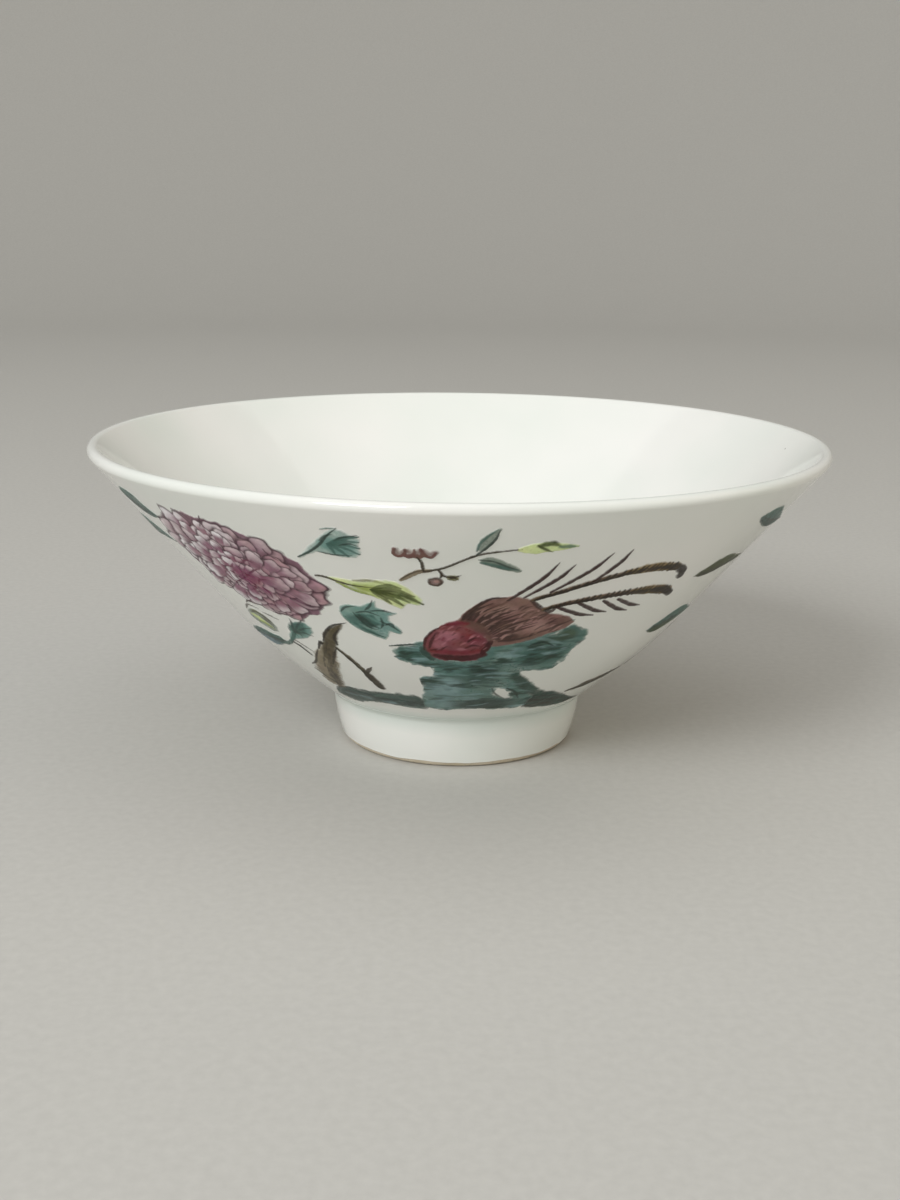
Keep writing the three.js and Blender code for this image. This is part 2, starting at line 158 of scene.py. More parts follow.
def mottle(x, y, size, seed, octaves=3):
    """Cloudy noise from about -1 to 1, with its largest clouds of the given size."""
    layers = [value_noise(x, y, size / 2**k, seed + k) / 2**k for k in range(octaves)]
    return sum(layers) / (2.0 - 2.0 ** (1 - octaves))


# ---- The wall ----

lip_centre = np.array([RIM_RADIUS - LIP_RADIUS, BOWL_HEIGHT - LIP_RADIUS])
wall_rise = np.array([RIM_RADIUS - BELLY[0], BOWL_HEIGHT - LIP_DROP - BELLY[1]])
wall_rise /= np.hypot(*wall_rise)
lip_start = lip_centre + LIP_RADIUS * np.array([wall_rise[1], -wall_rise[0]])

outer_curve = joined(bezier(WALL_START, BELLY_PULL, BELLY, 400), line(BELLY, lip_start, 600))
outer_steps = np.hypot(*np.diff(outer_curve, axis=0).T)
outer_slant = np.concatenate([[0.0], np.cumsum(outer_steps)])
outer_tangent = np.gradient(outer_curve, outer_slant, axis=0)


def wall_radius(slant):
    return np.interp(slant, outer_slant, outer_curve[:, 0])


def ripple(azimuth, slant):
    """The hand-turned wall's slight unevenness, always inwards, in millimetres."""
    around = np.sin(azimuth * DEGREE) * wall_radius(slant), np.cos(azimuth * DEGREE) * wall_radius(slant)
    cloud = mottle(around[0] + 0.7 * slant, around[1] - 0.4 * slant, 14.0, 5, 2)
    return RIPPLE * 0.5 * (cloud - 1.0)


def on_wall(azimuth, slant, standoff):
    """Points, in millimetres, that stand off the outer wall."""
    radius, height = (np.interp(slant, outer_slant, outer_curve[:, k]) for k in (0, 1))
    along_r, along_z = (np.interp(slant, outer_slant, outer_tangent[:, k]) for k in (0, 1))
    off = standoff + ripple(azimuth, slant)
    radius, height = radius + along_z * off, height - along_r * off
    angle = azimuth * DEGREE
    return np.stack([radius * np.sin(angle), -radius * np.cos(angle), height], -1)


def wall_coordinates(points):
    """Azimuth, slant and standoff of points that lie close to the outer wall."""
    azimuth = np.degrees(np.arctan2(points[:, 0], -points[:, 1]))
    azimuth = azimuth[0] + (azimuth - azimuth[0] + 180.0) % 360.0 - 180.0
    flat = np.stack([np.hypot(points[:, 0], points[:, 1]), points[:, 2]], 1)
    nearest = np.argmin(((flat[:, None, :] - outer_curve[None, :, :]) ** 2).sum(2), axis=1)
    away = flat - outer_curve[nearest]
    tangent = outer_tangent[nearest]
    along = (away * tangent).sum(1)
    standoff = away[:, 0] * tangent[:, 1] - away[:, 1] * tangent[:, 0]
    return azimuth, outer_slant[nearest] + along, standoff


# ---- Meshes ----


def new_object(name, points, faces, material, nodes):
    """A smooth mesh object from points in millimetres, which stands for CAD nodes."""
    mesh = bpy.data.meshes.new(name)
    mesh.from_pydata((points * MM).tolist(), [], [list(face) for face in faces])
    mesh.shade_smooth()
    mesh.materials.append(material)
    made = bpy.data.objects.new(name, mesh)
    bpy.context.scene.collection.objects.link(made)
    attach(made, BODY)
    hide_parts(*nodes)
    return made


def revolve(name, profile, material, node, shift=None):
    """Turns a profile about Z. It is closed, or it starts and ends on the axis."""
    azimuth = np.arange(TURN_STEPS) * (360.0 / TURN_STEPS)
    on_axis = profile[0][0] < SAME_POINT
    ring = profile[1:-1] if on_axis else profile
    azimuths, radii = np.meshgrid(azimuth, ring[:, 0])
    heights = np.repeat(ring[:, 1][:, None], TURN_STEPS, axis=1)
    if shift is not None:
        radii, heights = shift(azimuths, radii, heights)
    angle = azimuths * DEGREE
    points = np.stack([radii * np.sin(angle), -radii * np.cos(angle), heights], -1).reshape(-1, 3)
    rows = len(ring)
    index = np.arange(rows * TURN_STEPS).reshape(rows, TURN_STEPS)
    following = np.roll(index, -1, axis=1)
    if on_axis:
        low, high, low_next, high_next = index[:-1], index[1:], following[:-1], following[1:]
    else:
        low, high = index, np.roll(index, -1, axis=0)
        low_next, high_next = following, np.roll(following, -1, axis=0)
    faces = np.stack([low, low_next, high_next, high], -1).reshape(-1, 4).tolist()
    if on_axis:
        first, last = len(points), len(points) + 1
        ends = np.array([[0.0, 0.0, profile[0][1]], [0.0, 0.0, profile[-1][1]]])
        points = np.concatenate([points, ends])
        faces += [[first, b, a] for a, b in zip(index[0], following[0])]
        faces += [[last, a, b] for a, b in zip(index[-1], following[-1])]
    return new_object(name, points, faces, material, [node])


# ---- The clay body ----


def bowl_profile():
    facing_out = math.atan2(-wall_rise[0], wall_rise[1])
    lip = arc(lip_centre, LIP_RADIUS, facing_out, facing_out + math.pi, 24)
    curve_centre = (FLOOR_RADIUS, FLOOR_HEIGHT + FLOOR_CURVE_RADIUS)
    well = arc(curve_centre, FLOOR_CURVE_RADIUS, -WELL_TURN, -0.5 * math.pi, 40)
    under = line((0.0, FOOT_HEIGHT), (FOOT_TOP_BORE, FOOT_HEIGHT), 10)
    return joined(
        under,
        line(under[-1], WALL_START, 6),
        bezier(WALL_START, BELLY_PULL, BELLY, 40),
        line(BELLY, lip_start, 60),
        lip,
        line(lip[-1], well[0], 50),
        well,
        line(well[-1], (0.0, FLOOR_HEIGHT), 10),
    )


def make_bowl_wall(material):
    def shift(azimuth, radius, height):
        slant = np.interp(height, outer_curve[:, 1], outer_slant)
        off = ripple(azimuth, slant) * smooth_step(FOOT_HEIGHT, FOOT_HEIGHT + 1e-3, height)
        outside = radius > np.interp(height, outer_curve[:, 1], outer_curve[:, 0]) - 0.4
        along_r = np.interp(slant, outer_slant, outer_tangent[:, 0])
        along_z = np.interp(slant, outer_slant, outer_tangent[:, 1])
        sign = np.where(outside, 1.0, 0.5)
        return radius + sign * along_z * off, height - sign * along_r * off * outside

    return revolve("porcelain_wall", bowl_profile(), material, "bowl_wall", shift)


def make_foot_ring(material):
    """The glazed foot, with a pooled fillet where it meets the bowl inside and out."""
    edge, top = BISCUIT_HEIGHT, FOOT_HEIGHT
    wall_touch = outer_curve[np.searchsorted(outer_slant, 0.7)] + np.array([0.02, -0.02])
    outer_edge = (FOOT_BOTTOM_RADIUS + GLAZE_EDGE, edge + 0.12)
    outer_neck = (FOOT_TOP_RADIUS - 0.05, top - 0.7)
    pool = (FOOT_TOP_BORE - 1.1, top - 0.02)
    inner_neck = (FOOT_TOP_BORE + 0.05, top - 0.9)
    profile = joined(
        line((FOOT_BOTTOM_BORE - GLAZE_EDGE, edge), (FOOT_BOTTOM_BORE, edge - 0.03)),
        line((FOOT_BOTTOM_BORE + 0.5, edge + 0.1), (FOOT_BOTTOM_RADIUS - 0.5, edge + 0.1)),
        bezier((FOOT_BOTTOM_RADIUS, edge - 0.05), (FOOT_BOTTOM_RADIUS + GLAZE_EDGE, edge), outer_edge, 5),
        bezier(outer_edge, (FOOT_TOP_RADIUS - 0.4, 3.6), outer_neck, 24),
        bezier(outer_neck, (FOOT_TOP_RADIUS, top - 0.1), wall_touch, 8),
        line(wall_touch, (FOOT_TOP_RADIUS - 0.4, top + 0.9)),
        line((FOOT_TOP_BORE - 0.6, top + 0.6), pool),
        bezier(pool, (FOOT_TOP_BORE, top - 0.02), inner_neck, 8),
        line(inner_neck, (FOOT_BOTTOM_BORE - GLAZE_EDGE, edge + 0.1), 20),
    )[:-1]

    def shift(azimuth, radius, height):
        wave = mottle(azimuth * 0.3, radius * 0.0, 4.0, 31)
        near_edge = 1.0 - smooth_step(edge, edge + 1.2, height)
        uneven = mottle(azimuth * 0.3, height, 5.0, 37, 2)
        outside = radius > CONTACT_OUTER_RADIUS
        return radius + FOOT_RIPPLE * uneven * outside, height + GLAZE_WAVE * wave * near_edge

    return revolve("glazed_foot", profile, material, "foot_ring", shift)


def make_foot_rim(material):
    """The bare band that the bowl stands on, left when the glaze was wiped off."""
    top = BISCUIT_HEIGHT + 0.25
    inner_top, outer_top = (FOOT_BOTTOM_BORE, top), (FOOT_BOTTOM_RADIUS, top)
    inner_contact, outer_contact = (CONTACT_INNER_RADIUS, 0.0), (CONTACT_OUTER_RADIUS, 0.0)
    profile = joined(
        line(inner_contact, outer_contact, 8),
        bezier(outer_contact, (FOOT_BOTTOM_RADIUS - 0.15, 0.03), outer_top, 14),
        line(outer_top, inner_top, 4),
        bezier(inner_top, (FOOT_BOTTOM_BORE + 0.05, 0.03), inner_contact, 10),
    )[:-1]

    def shift(azimuth, radius, height):
        grit = mottle(azimuth * 0.3, radius * 2.0 + height * 3.0, 0.5, 43)
        outside = radius > CONTACT_OUTER_RADIUS
        return radius + GRIT_DEPTH * (grit - 1.0) * outside, height + GRIT_LIFT * (grit + 1.0)

    return revolve("bare_foot_rim", profile, material, "foot_rim", shift)


# ---- Painting ----


def linear(code):
    """A linear colour from an sRGB hex code."""
    parts = np.array([int(code[k : k + 2], 16) for k in (0, 2, 4)]) / 255.0
    return np.where(parts <= 0.04045, parts / 12.92, ((parts + 0.055) / 1.055) ** 2.4)


def smooth_line(points, count=14):
    """A Catmull-Rom curve through a few points."""
    points = np.array(points, float)
    if len(points) == 2:
        return line(points[0], points[1], 4)
    padded = np.concatenate([[2 * points[0] - points[1]], points, [2 * points[-1] - points[-2]]])
    share = np.linspace(0.0, len(points) - 1.0, count)
    i = np.minimum(share.astype(int), len(points) - 2)
    t = (share - i)[:, None]
    a, b, c, d = (padded[i + k] for k in range(4))
    return 0.5 * (2 * b + (c - a) * t + (2 * a - 5 * b + 4 * c - d) * t**2 + (3 * b - a - 3 * c + d) * t**3)


def within(x, y, edges):
    """Which points lie inside an outline of edges."""
    inside = np.zeros(x.shape, bool)
    for (ax, ay), (bx, by) in edges:
        if ay != by:
            inside ^= ((ay > y) != (by > y)) & (x < (bx - ax) * (y - ay) / (by - ay) + ax)
    return inside


def footprint(node):
    """The edges around an enamel node's outer face, as azimuth and slant, (count, 2, 2)."""
    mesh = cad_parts[node].data
    flat = np.zeros(len(mesh.vertices) * 3)
    mesh.vertices.foreach_get("co", flat)
    azimuth, slant, standoff = wall_coordinates(flat.reshape(-1, 3) / MM)
    middle = 0.5 * (standoff.min() + standoff.max())
    found = set()
    for face in mesh.polygons:
        corners = list(face.vertices)
        if min(standoff[corners]) < middle:
            continue
        ring = [(round(azimuth[k], 2), round(slant[k], 2)) for k in corners]
        for a, b in zip(ring, ring[1:] + ring[:1]):
            if a != b:
                found ^= {(min(a, b), max(a, b))}
    return np.array(sorted(found))


def signed_distance(x, y, edges):
    """Distance to an outline of edges, positive inside it.

    An edge with the inside on both sides is a seam between two loops, so it isn't part of the outline.
    """
    step = edges[:, 1] - edges[:, 0]
    aside = SEAM_PROBE * np.stack([-step[:, 1], step[:, 0]], -1) / (np.hypot(*step.T)[:, None] + 1e-9)
    left, right = ((edges.mean(1) + sign * aside).T for sign in (1, -1))
    nearest = np.full(x.shape, np.inf)
    for (ax, ay), (bx, by) in edges[within(*left, edges) != within(*right, edges)]:
        dx, dy = bx - ax, by - ay
        t = np.clip(((x - ax) * dx + (y - ay) * dy) / (dx * dx + dy * dy + 1e-12), 0.0, 1.0)
        nearest = np.minimum(nearest, np.hypot(x - ax - t * dx, y - ay - t * dy))
    return np.where(within(x, y, edges), nearest, -nearest)


class Sheet:
    """The wall around one enamel node as a grid in millimetres, x along the wall and y up it.

    Methods whose points are "places" take azimuth and slant; the others take the grid's own millimetres.
    """

    finished = []

    def __init__(self, node, margin=0.9):
        self.node = node
        edges = footprint(node)
        low, high = edges.reshape(-1, 2).min(0), edges.reshape(-1, 2).max(0)
        self.azimuth_mid, self.slant_mid = 0.5 * (low + high)
        flat = self.spots(edges)
        self.corners = flat.reshape(-1, 2)
        self.low, self.high = self.corners.min(0), self.corners.max(0)
        self.across = np.arange(self.low[0] - margin, self.high[0] + margin, GRID)
        self.up = np.arange(self.low[1] - margin, self.high[1] + margin, GRID)
        self.x, self.y = np.meshgrid(self.across, self.up)
        self.inside = signed_distance(self.x, self.y, flat)
        self.ink = np.zeros(self.x.shape + (3,))
        self.cover = np.zeros(self.x.shape)
        self.relief = np.zeros(self.x.shape)
        self.strokes = 0

    def spots(self, places):
        """Places on the wall, (..., 2), as the grid's millimetres."""
        azimuth, slant = np.moveaxis(np.asarray(places, float), -1, 0)
        turn = (azimuth - self.azimuth_mid + 180.0) % 360.0 - 180.0
        return np.stack([turn * wall_radius(slant) * DEGREE, slant - self.slant_mid], -1)

    def wall_place(self):
        slant = self.slant_mid + self.y
        return self.azimuth_mid + self.x / (wall_radius(slant) * DEGREE), slant

    def far_corner(self, direction):
        """The outline's furthest point in a direction given in degrees."""
        heading = np.array([math.cos(direction * DEGREE), math.sin(direction * DEGREE)])
        return self.corners[np.argmax(self.corners @ heading)]

    def window(self, points, reach):
        i0, i1 = np.searchsorted(self.across, [points[:, 0].min() - reach, points[:, 0].max() + reach])
        j0, j1 = np.searchsorted(self.up, [points[:, 1].min() - reach, points[:, 1].max() + reach])
        return slice(j0, j1), slice(i0, i1)

    def lay(self, colour, amount, lift=0.0, where=(slice(None), slice(None))):
        """Lays one coat of colour over what is there. Amount runs from 0, clear, to 1, opaque."""
        colour = np.asarray(colour)
        self.ink[where] = colour * amount[..., None] + self.ink[where] * (1.0 - amount[..., None])
        self.cover[where] = amount + self.cover[where] * (1.0 - amount)
        self.relief[where] = np.maximum(self.relief[where], lift * amount)

    def wash(self, colour, strength, seed, softness=0.4, grow=0.2, cloud=2.0, depth=0.25, lift=0.06,
             ragged=0.22):
        """A cloudy wash that fills the node's footprint and fades just past its ragged outline."""
        edge = self.inside + ragged * mottle(self.x, self.y, 1.1, seed)
        clouds = 1.0 + depth * mottle(self.x, self.y, cloud, seed + 7)
        amount = strength * smooth_step(-grow, softness - grow, edge) * clouds
        self.lay(colour, np.clip(amount, 0.0, FULL_COVER), lift)

    def patch(self, colour, place, size, strength, seed, lift=0.06):
        """A soft cloud of colour that stays inside the footprint."""
        middle = self.spots(place)
        away = np.hypot((self.x - middle[0]) / size[0], (self.y - middle[1]) / size[1])
        away = away + 0.25 * mottle(self.x, self.y, 1.6, seed)
        amount = strength * smooth_step(1.0, 0.3, away) * smooth_step(-0.25, 0.1, self.inside)
        self.lay(colour, amount, lift)

    def patches(self, *clouds):
        """Several patches, each given as its colour, place, size, strength and seed."""
        for cloud in clouds:
            self.patch(*cloud)

    def edge_line(self, colour, strength, seed, offset=0.05, width=0.13, broken=0.5):
        """A broken dark line along the outline."""
        along = np.exp(-(((self.inside - offset) / width) ** 2))
        gaps = smooth_step(-broken, 0.35, mottle(self.x, self.y, 1.8, seed))
        self.lay(colour, strength * along * gaps, 0.09)

    def stroke(self, points, width, colour, strength=0.85, start=0.6, end=0.2, soft=0.07, lift=0.09,
               keep=None):
        """One brush line of a given width in millimetres, thinner towards its ends."""
        path = smooth_line(points)
        where = self.window(path, 0.6 * width + soft + 0.2)
        x, y = self.x[where], self.y[where]
        if x.size == 0:
            return
        self.strokes += 1
        nearest, share = np.full(x.shape, np.inf), np.zeros(x.shape)
        for k, (a, b) in enumerate(zip(path[:-1], path[1:])):
            d = b - a
            t = np.clip(((x - a[0]) * d[0] + (y - a[1]) * d[1]) / (d @ d + 1e-12), 0.0, 1.0)
            gap = np.hypot(x - a[0] - t * d[0], y - a[1] - t * d[1])
            closer = gap < nearest
            nearest = np.where(closer, gap, nearest)
            share = np.where(closer, (k + t) / (len(path) - 1.0), share)
        taper = np.interp(share, [0.0, 0.25, 0.6, 1.0], [start, 1.0, 1.0, end])
        bristle = mottle(x, y, 0.55, 31 * self.strokes)
        half = 0.5 * width * taper * (1.0 + 0.22 * bristle)
        edge = smooth_step(half + soft, np.maximum(half - soft, -soft), nearest)
        amount = strength * (0.9 + 0.12 * bristle) * edge
        if keep is not None:
            amount = amount * smooth_step(keep - 0.1, keep + 0.1, self.inside[where])
        self.lay(colour, np.clip(amount, 0.0, 1.0), lift, where)

    def brush(self, colour, width, *places, strength=0.85, **manner):
        """A stroke through places on the wall."""
        load = min(BRUSH_LOAD * strength, FULL_COVER)
        self.stroke(self.spots(places), width, colour, load, **manner)

    def lines(self, colour, width, paths, **manner):
        """Several strokes of one kind."""
        for places in paths:
            self.brush(colour, width, *places, **manner)

    def beneath(self):
        """The ink, cover and height that earlier sheets left on the wall under this grid."""
        azimuth, slant = self.wall_place()
        ink, cover = np.zeros(self.ink.shape), np.zeros(self.cover.shape)
        top = np.full(self.cover.shape, BURIED)
        for other in Sheet.finished:
            spot = other.spots(np.stack([azimuth, slant], -1))
            column, row = (spot[..., 0] - other.across[0]) / GRID, (spot[..., 1] - other.up[0]) / GRID
            shared = (column > 0) & (row > 0) & (column < len(other.across) - 1) & (row < len(other.up) - 1)
            if not shared.any():
                continue
            i, j = column[shared].astype(int), row[shared].astype(int)
            u, v = column[shared] - i, row[shared] - j
            corners = ((i, j, (1 - u) * (1 - v)), (i + 1, j, u * (1 - v)), (i, j + 1, (1 - u) * v),
                       (i + 1, j + 1, u * v))
            over = sum(other.cover[b, a] * w for a, b, w in corners)
            laid = sum(other.ink[b, a] * w[:, None] for a, b, w in corners)
            ink[shared] = laid + ink[shared] * (1 - over)[:, None]
            cover[shared] = over + cover[shared] * (1 - over)
            top[shared] = np.maximum(top[shared], sum(other.top[b, a] * w for a, b, w in corners))
        return ink, cover, top

    def build(self, material):
        """The painted grid as a closed skin, whose rim dips under the glaze.

        Where earlier enamel lies beneath, the skin stands over it and carries its colour at soft edges.
        """
        painted = self.cover > PAINTED
        cells = painted[:-1, :-1] | painted[1:, :-1] | painted[:-1, 1:] | painted[1:, 1:]
        used = np.zeros(self.x.shape, bool)
        for rows in (slice(None, -1), slice(1, None)):
            for columns in (slice(None, -1), slice(1, None)):
                used[rows, columns] |= cells
        count = int(used.sum())
        index = np.full(self.x.shape, -1)
        index[used] = np.arange(count)
        azimuth, slant = self.wall_place()
        ink_below, cover_below, top_below = self.beneath()
        proud = np.minimum(ENAMEL_LOWEST + self.relief, ENAMEL_HIGHEST)
        proud = np.where(top_below > 0.0, np.maximum(proud, top_below + COAT_STEP), proud)
        self.top = BURIED + (proud - BURIED) * smooth_step(*EDGE_COVER, self.cover)
        over = on_wall(azimuth[used], slant[used], self.top[used])
        under = on_wall(azimuth[used], slant[used], UNDERSIDE)
        quads = np.stack([index[:-1, :-1], index[:-1, 1:], index[1:, 1:], index[1:, :-1]], -1)
        framed = np.pad(cells, 1)
        sides = []
        # Below, right, above and left of a cell, with the two corners that it shares on that side
        neighbours = ((0, 1, 0, 1), (1, 2, 1, 2), (2, 1, 2, 3), (1, 0, 3, 0))
        for row, column, a, b in neighbours:
            bare = ~framed[row : row + cells.shape[0], column : column + cells.shape[1]]
            edge = quads[cells & bare][:, [a, b]]
            sides.append(np.stack([edge[:, 0] + count, edge[:, 1] + count, edge[:, 1], edge[:, 0]], -1))
        top = quads[cells]
        faces = np.concatenate([top, top[:, ::-1] + count] + sides)
        made = new_object("enamel_" + self.node, np.concatenate([over, under]), faces.tolist(), material,
                          [self.node])
        cover = self.cover + cover_below * (1.0 - self.cover)
        mixed = self.ink + ink_below * (1.0 - self.cover)[..., None]
        colour = mixed / np.maximum(cover, 1e-3)[..., None]
        paint = np.concatenate([np.clip(colour, 0.0, 1.0), cover[..., None]], -1)[used]
        layer = made.data.color_attributes.new("paint", "FLOAT_COLOR", "POINT")
        layer.data.foreach_set("color", np.concatenate([paint, paint]).astype(np.float32).ravel())
        Sheet.finished.append(self)


# ---- Enamel colours ----

PETAL_WHITE = linear("f8f4f7")
PETAL_DUSKY = linear("b68e96")
PETAL_MAUVE = linear("98707f")
PETAL_SHADE = linear("7a5464")
ROSE = linear("7c3457")
ROSE_DEEP = linear("64203f")
PETAL_LINE = linear("432632")
TEAL_PALE = linear("9ab3ac")
TEAL = linear("6c948c")
TEAL_DEEP = linear("3d6159")
LEAF_LINE = linear("22332c")
SLATE = linear("6f8593")
LIME = linear("d6e3a0")
LIME_DEEP = linear("8a9c3c")
OLIVE = linear("74713c")
OLIVE_DARK = linear("3a4416")
BARK = linear("857962")
BARK_OLIVE = linear("4c4229")
BARK_DARK = linear("3a3122")
BARK_LINE = linear("28211a")
ROCK = linear("567a73")
ROCK_PALE = linear("86a3a6")
ROCK_DARK = linear("30493f")
ROCK_LINE = linear("1d312a")
GROUND = linear("43554e")
GROUND_DARK = linear("22322c")
CRIMSON = linear("7f434b")
CRIMSON_PINK = linear("b97883")
CRIMSON_DEEP = linear("76202f")
CRIMSON_DARK = linear("3a060d")
PLUMAGE = linear("84625a")
PLUMAGE_ROSE = linear("b08b84")
PLUMAGE_BROWN = linear("64453e")
PLUMAGE_DARK = linear("3a2420")
FEATHER = linear("7f6838")
FEATHER_BROWN = linear("66503a")
FEATHER_DARK = linear("241a0c")
RUSSET = linear("71504a")
SAGE = linear("7f8b80")
WING = linear("8ba3bd")
WING_DARK = linear("3a4a66")


# ---- The flowers ----


def reach_of(sheet, centre, direction):
    """How far the footprint reaches from a point in a direction given in radians."""
    steps = np.linspace(0, 16, 120)
    x = centre[0] + steps * math.cos(direction)
    y = centre[1] + steps * math.sin(direction)
    column = np.clip(np.searchsorted(sheet.across, x), 0, len(sheet.across) - 1)
    row = np.clip(np.searchsorted(sheet.up, y), 0, len(sheet.up) - 1)
    return steps[np.argmax(sheet.inside[row, column] < 0)]


def petal(sheet, root, direction, length, width, light, rosy, rng):
    """One rounded petal over its own soft shadow: pale at its lip, rosy at its foot, thinly outlined.

    Direction is in radians. Light runs from 0, dusky, to 1, white; rosy is the depth of colour at the foot.
    """
    cos, sin = math.cos(direction), math.sin(direction)
    middle = np.array([[root[0] + 0.5 * length * cos, root[1] + 0.5 * length * sin]])
    where = sheet.window(middle, 0.75 * max(length, width) + 0.6)
    x, y = sheet.x[where] - root[0], sheet.y[where] - root[1]
    along, across = (x * cos + y * sin) / length, (y * cos - x * sin) / width
    across = across - rng.uniform(-0.2, 0.2) * along**2
    seeds = [int(seed) for seed in rng.integers(1, 900, 4)]
    ragged = 0.09 * mottle(x, y, 1.3, seeds[0])
    notch = 0.06 * np.cos(across * rng.uniform(7, 12) + rng.uniform(0, 6))
    outward = np.where(along > 0.5, ((along - 0.5) / (0.5 + notch)) ** 2, 0)
    fan = 0.5 + 0.6 * np.clip(along, 0, 1)
    form = 1.0 - np.sqrt(outward + (across / (0.5 * fan)) ** 2 * 0.9) + ragged
    tucked = smooth_step(-0.1, 0.25, along)
    sheet.lay(PETAL_LINE, 0.6 * smooth_step(-0.3, 0.05, form) * tucked, 0, where)
    body = smooth_step(0, 0.14, form) * smooth_step(-0.12, 0.05, along)
    pale = smooth_step(0.3, 0.95, along + 0.2 * mottle(x, y, 0.9, seeds[1]))[..., None]
    lip = light * PETAL_WHITE + (1.0 - light) * PETAL_DUSKY
    foot = rosy * ROSE + (1.0 - rosy) * PETAL_MAUVE
    streaks = 0.5 + 0.5 * mottle(across * 3.2, along * 0.6, 0.5, seeds[2], 2)
    tone = (foot * (1.0 - pale) + lip * pale) * (0.8 + 0.28 * streaks[..., None])
    sheet.lay(np.clip(tone, 0, 1), 0.95 * body, 0, where)
    raised = 0.05 + 0.09 * smooth_step(0, 0.5, form)
    sheet.relief[where] = np.where(body > 0.5, raised, sheet.relief[where])
    rim = np.exp(-(((form - 0.02) / 0.06) ** 2)) * smooth_step(0.1, 0.5, along)
    broken = smooth_step(-0.7, 0.3, mottle(x, y, 1.2, seeds[3]))
    sheet.lay(PETAL_LINE, (0.85 - 0.35 * light) * rim * broken, 0, where)


def paint_bloom(sheet, heart, rings, placed, seed, pale_side):
    """A peony: rings of petals from the outside inwards, then the listed petals."""
    rng = np.random.default_rng(seed)
    sheet.wash(PETAL_SHADE, 0.9, seed, softness=0.5, grow=0.1, ragged=0.3)
    centre = sheet.spots(heart)
    for share, count, size in rings:
        for k in range(count):
            direction = 2.0 * math.pi * (k + rng.uniform(-0.3, 0.3)) / count + 1.7 * share
            reach = reach_of(sheet, centre, direction) - 0.15
            length = size * reach * rng.uniform(0.85, 1.15)
            width = 2.0 * math.pi * reach * share / count * rng.uniform(0.85, 1.2) + 0.4
            start = share * reach * rng.uniform(0.95, 1.04) - length
            root = centre + start * np.array([math.cos(direction), math.sin(direction)])
            turned = 0.5 + 0.5 * math.cos(direction - pale_side * DEGREE)
            light = np.clip(0.05 + 0.85 * turned + rng.uniform(-0.3, 0.3), 0, 1)
            rosy = np.clip(0.95 - 1.1 * share + rng.uniform(-0.1, 0.2), 0, 1)
            petal(sheet, root, direction + rng.uniform(-0.2, 0.2), length, width, light, rosy, rng)
    petals = [(sheet.spots(place), *rest) for place, *rest in placed]
    petals.sort(key=lambda set_petal: -np.hypot(*(set_petal[0] - centre)))
    for middle, direction, length, width, light in petals:
        heading = np.array([math.cos(direction * DEGREE), math.sin(direction * DEGREE)])
        rosy = np.clip(1.0 - np.hypot(*(middle - centre)) / 9, 0, 1)
        petal(sheet, middle - 0.5 * length * heading, direction * DEGREE, length, width, light, rosy, rng)


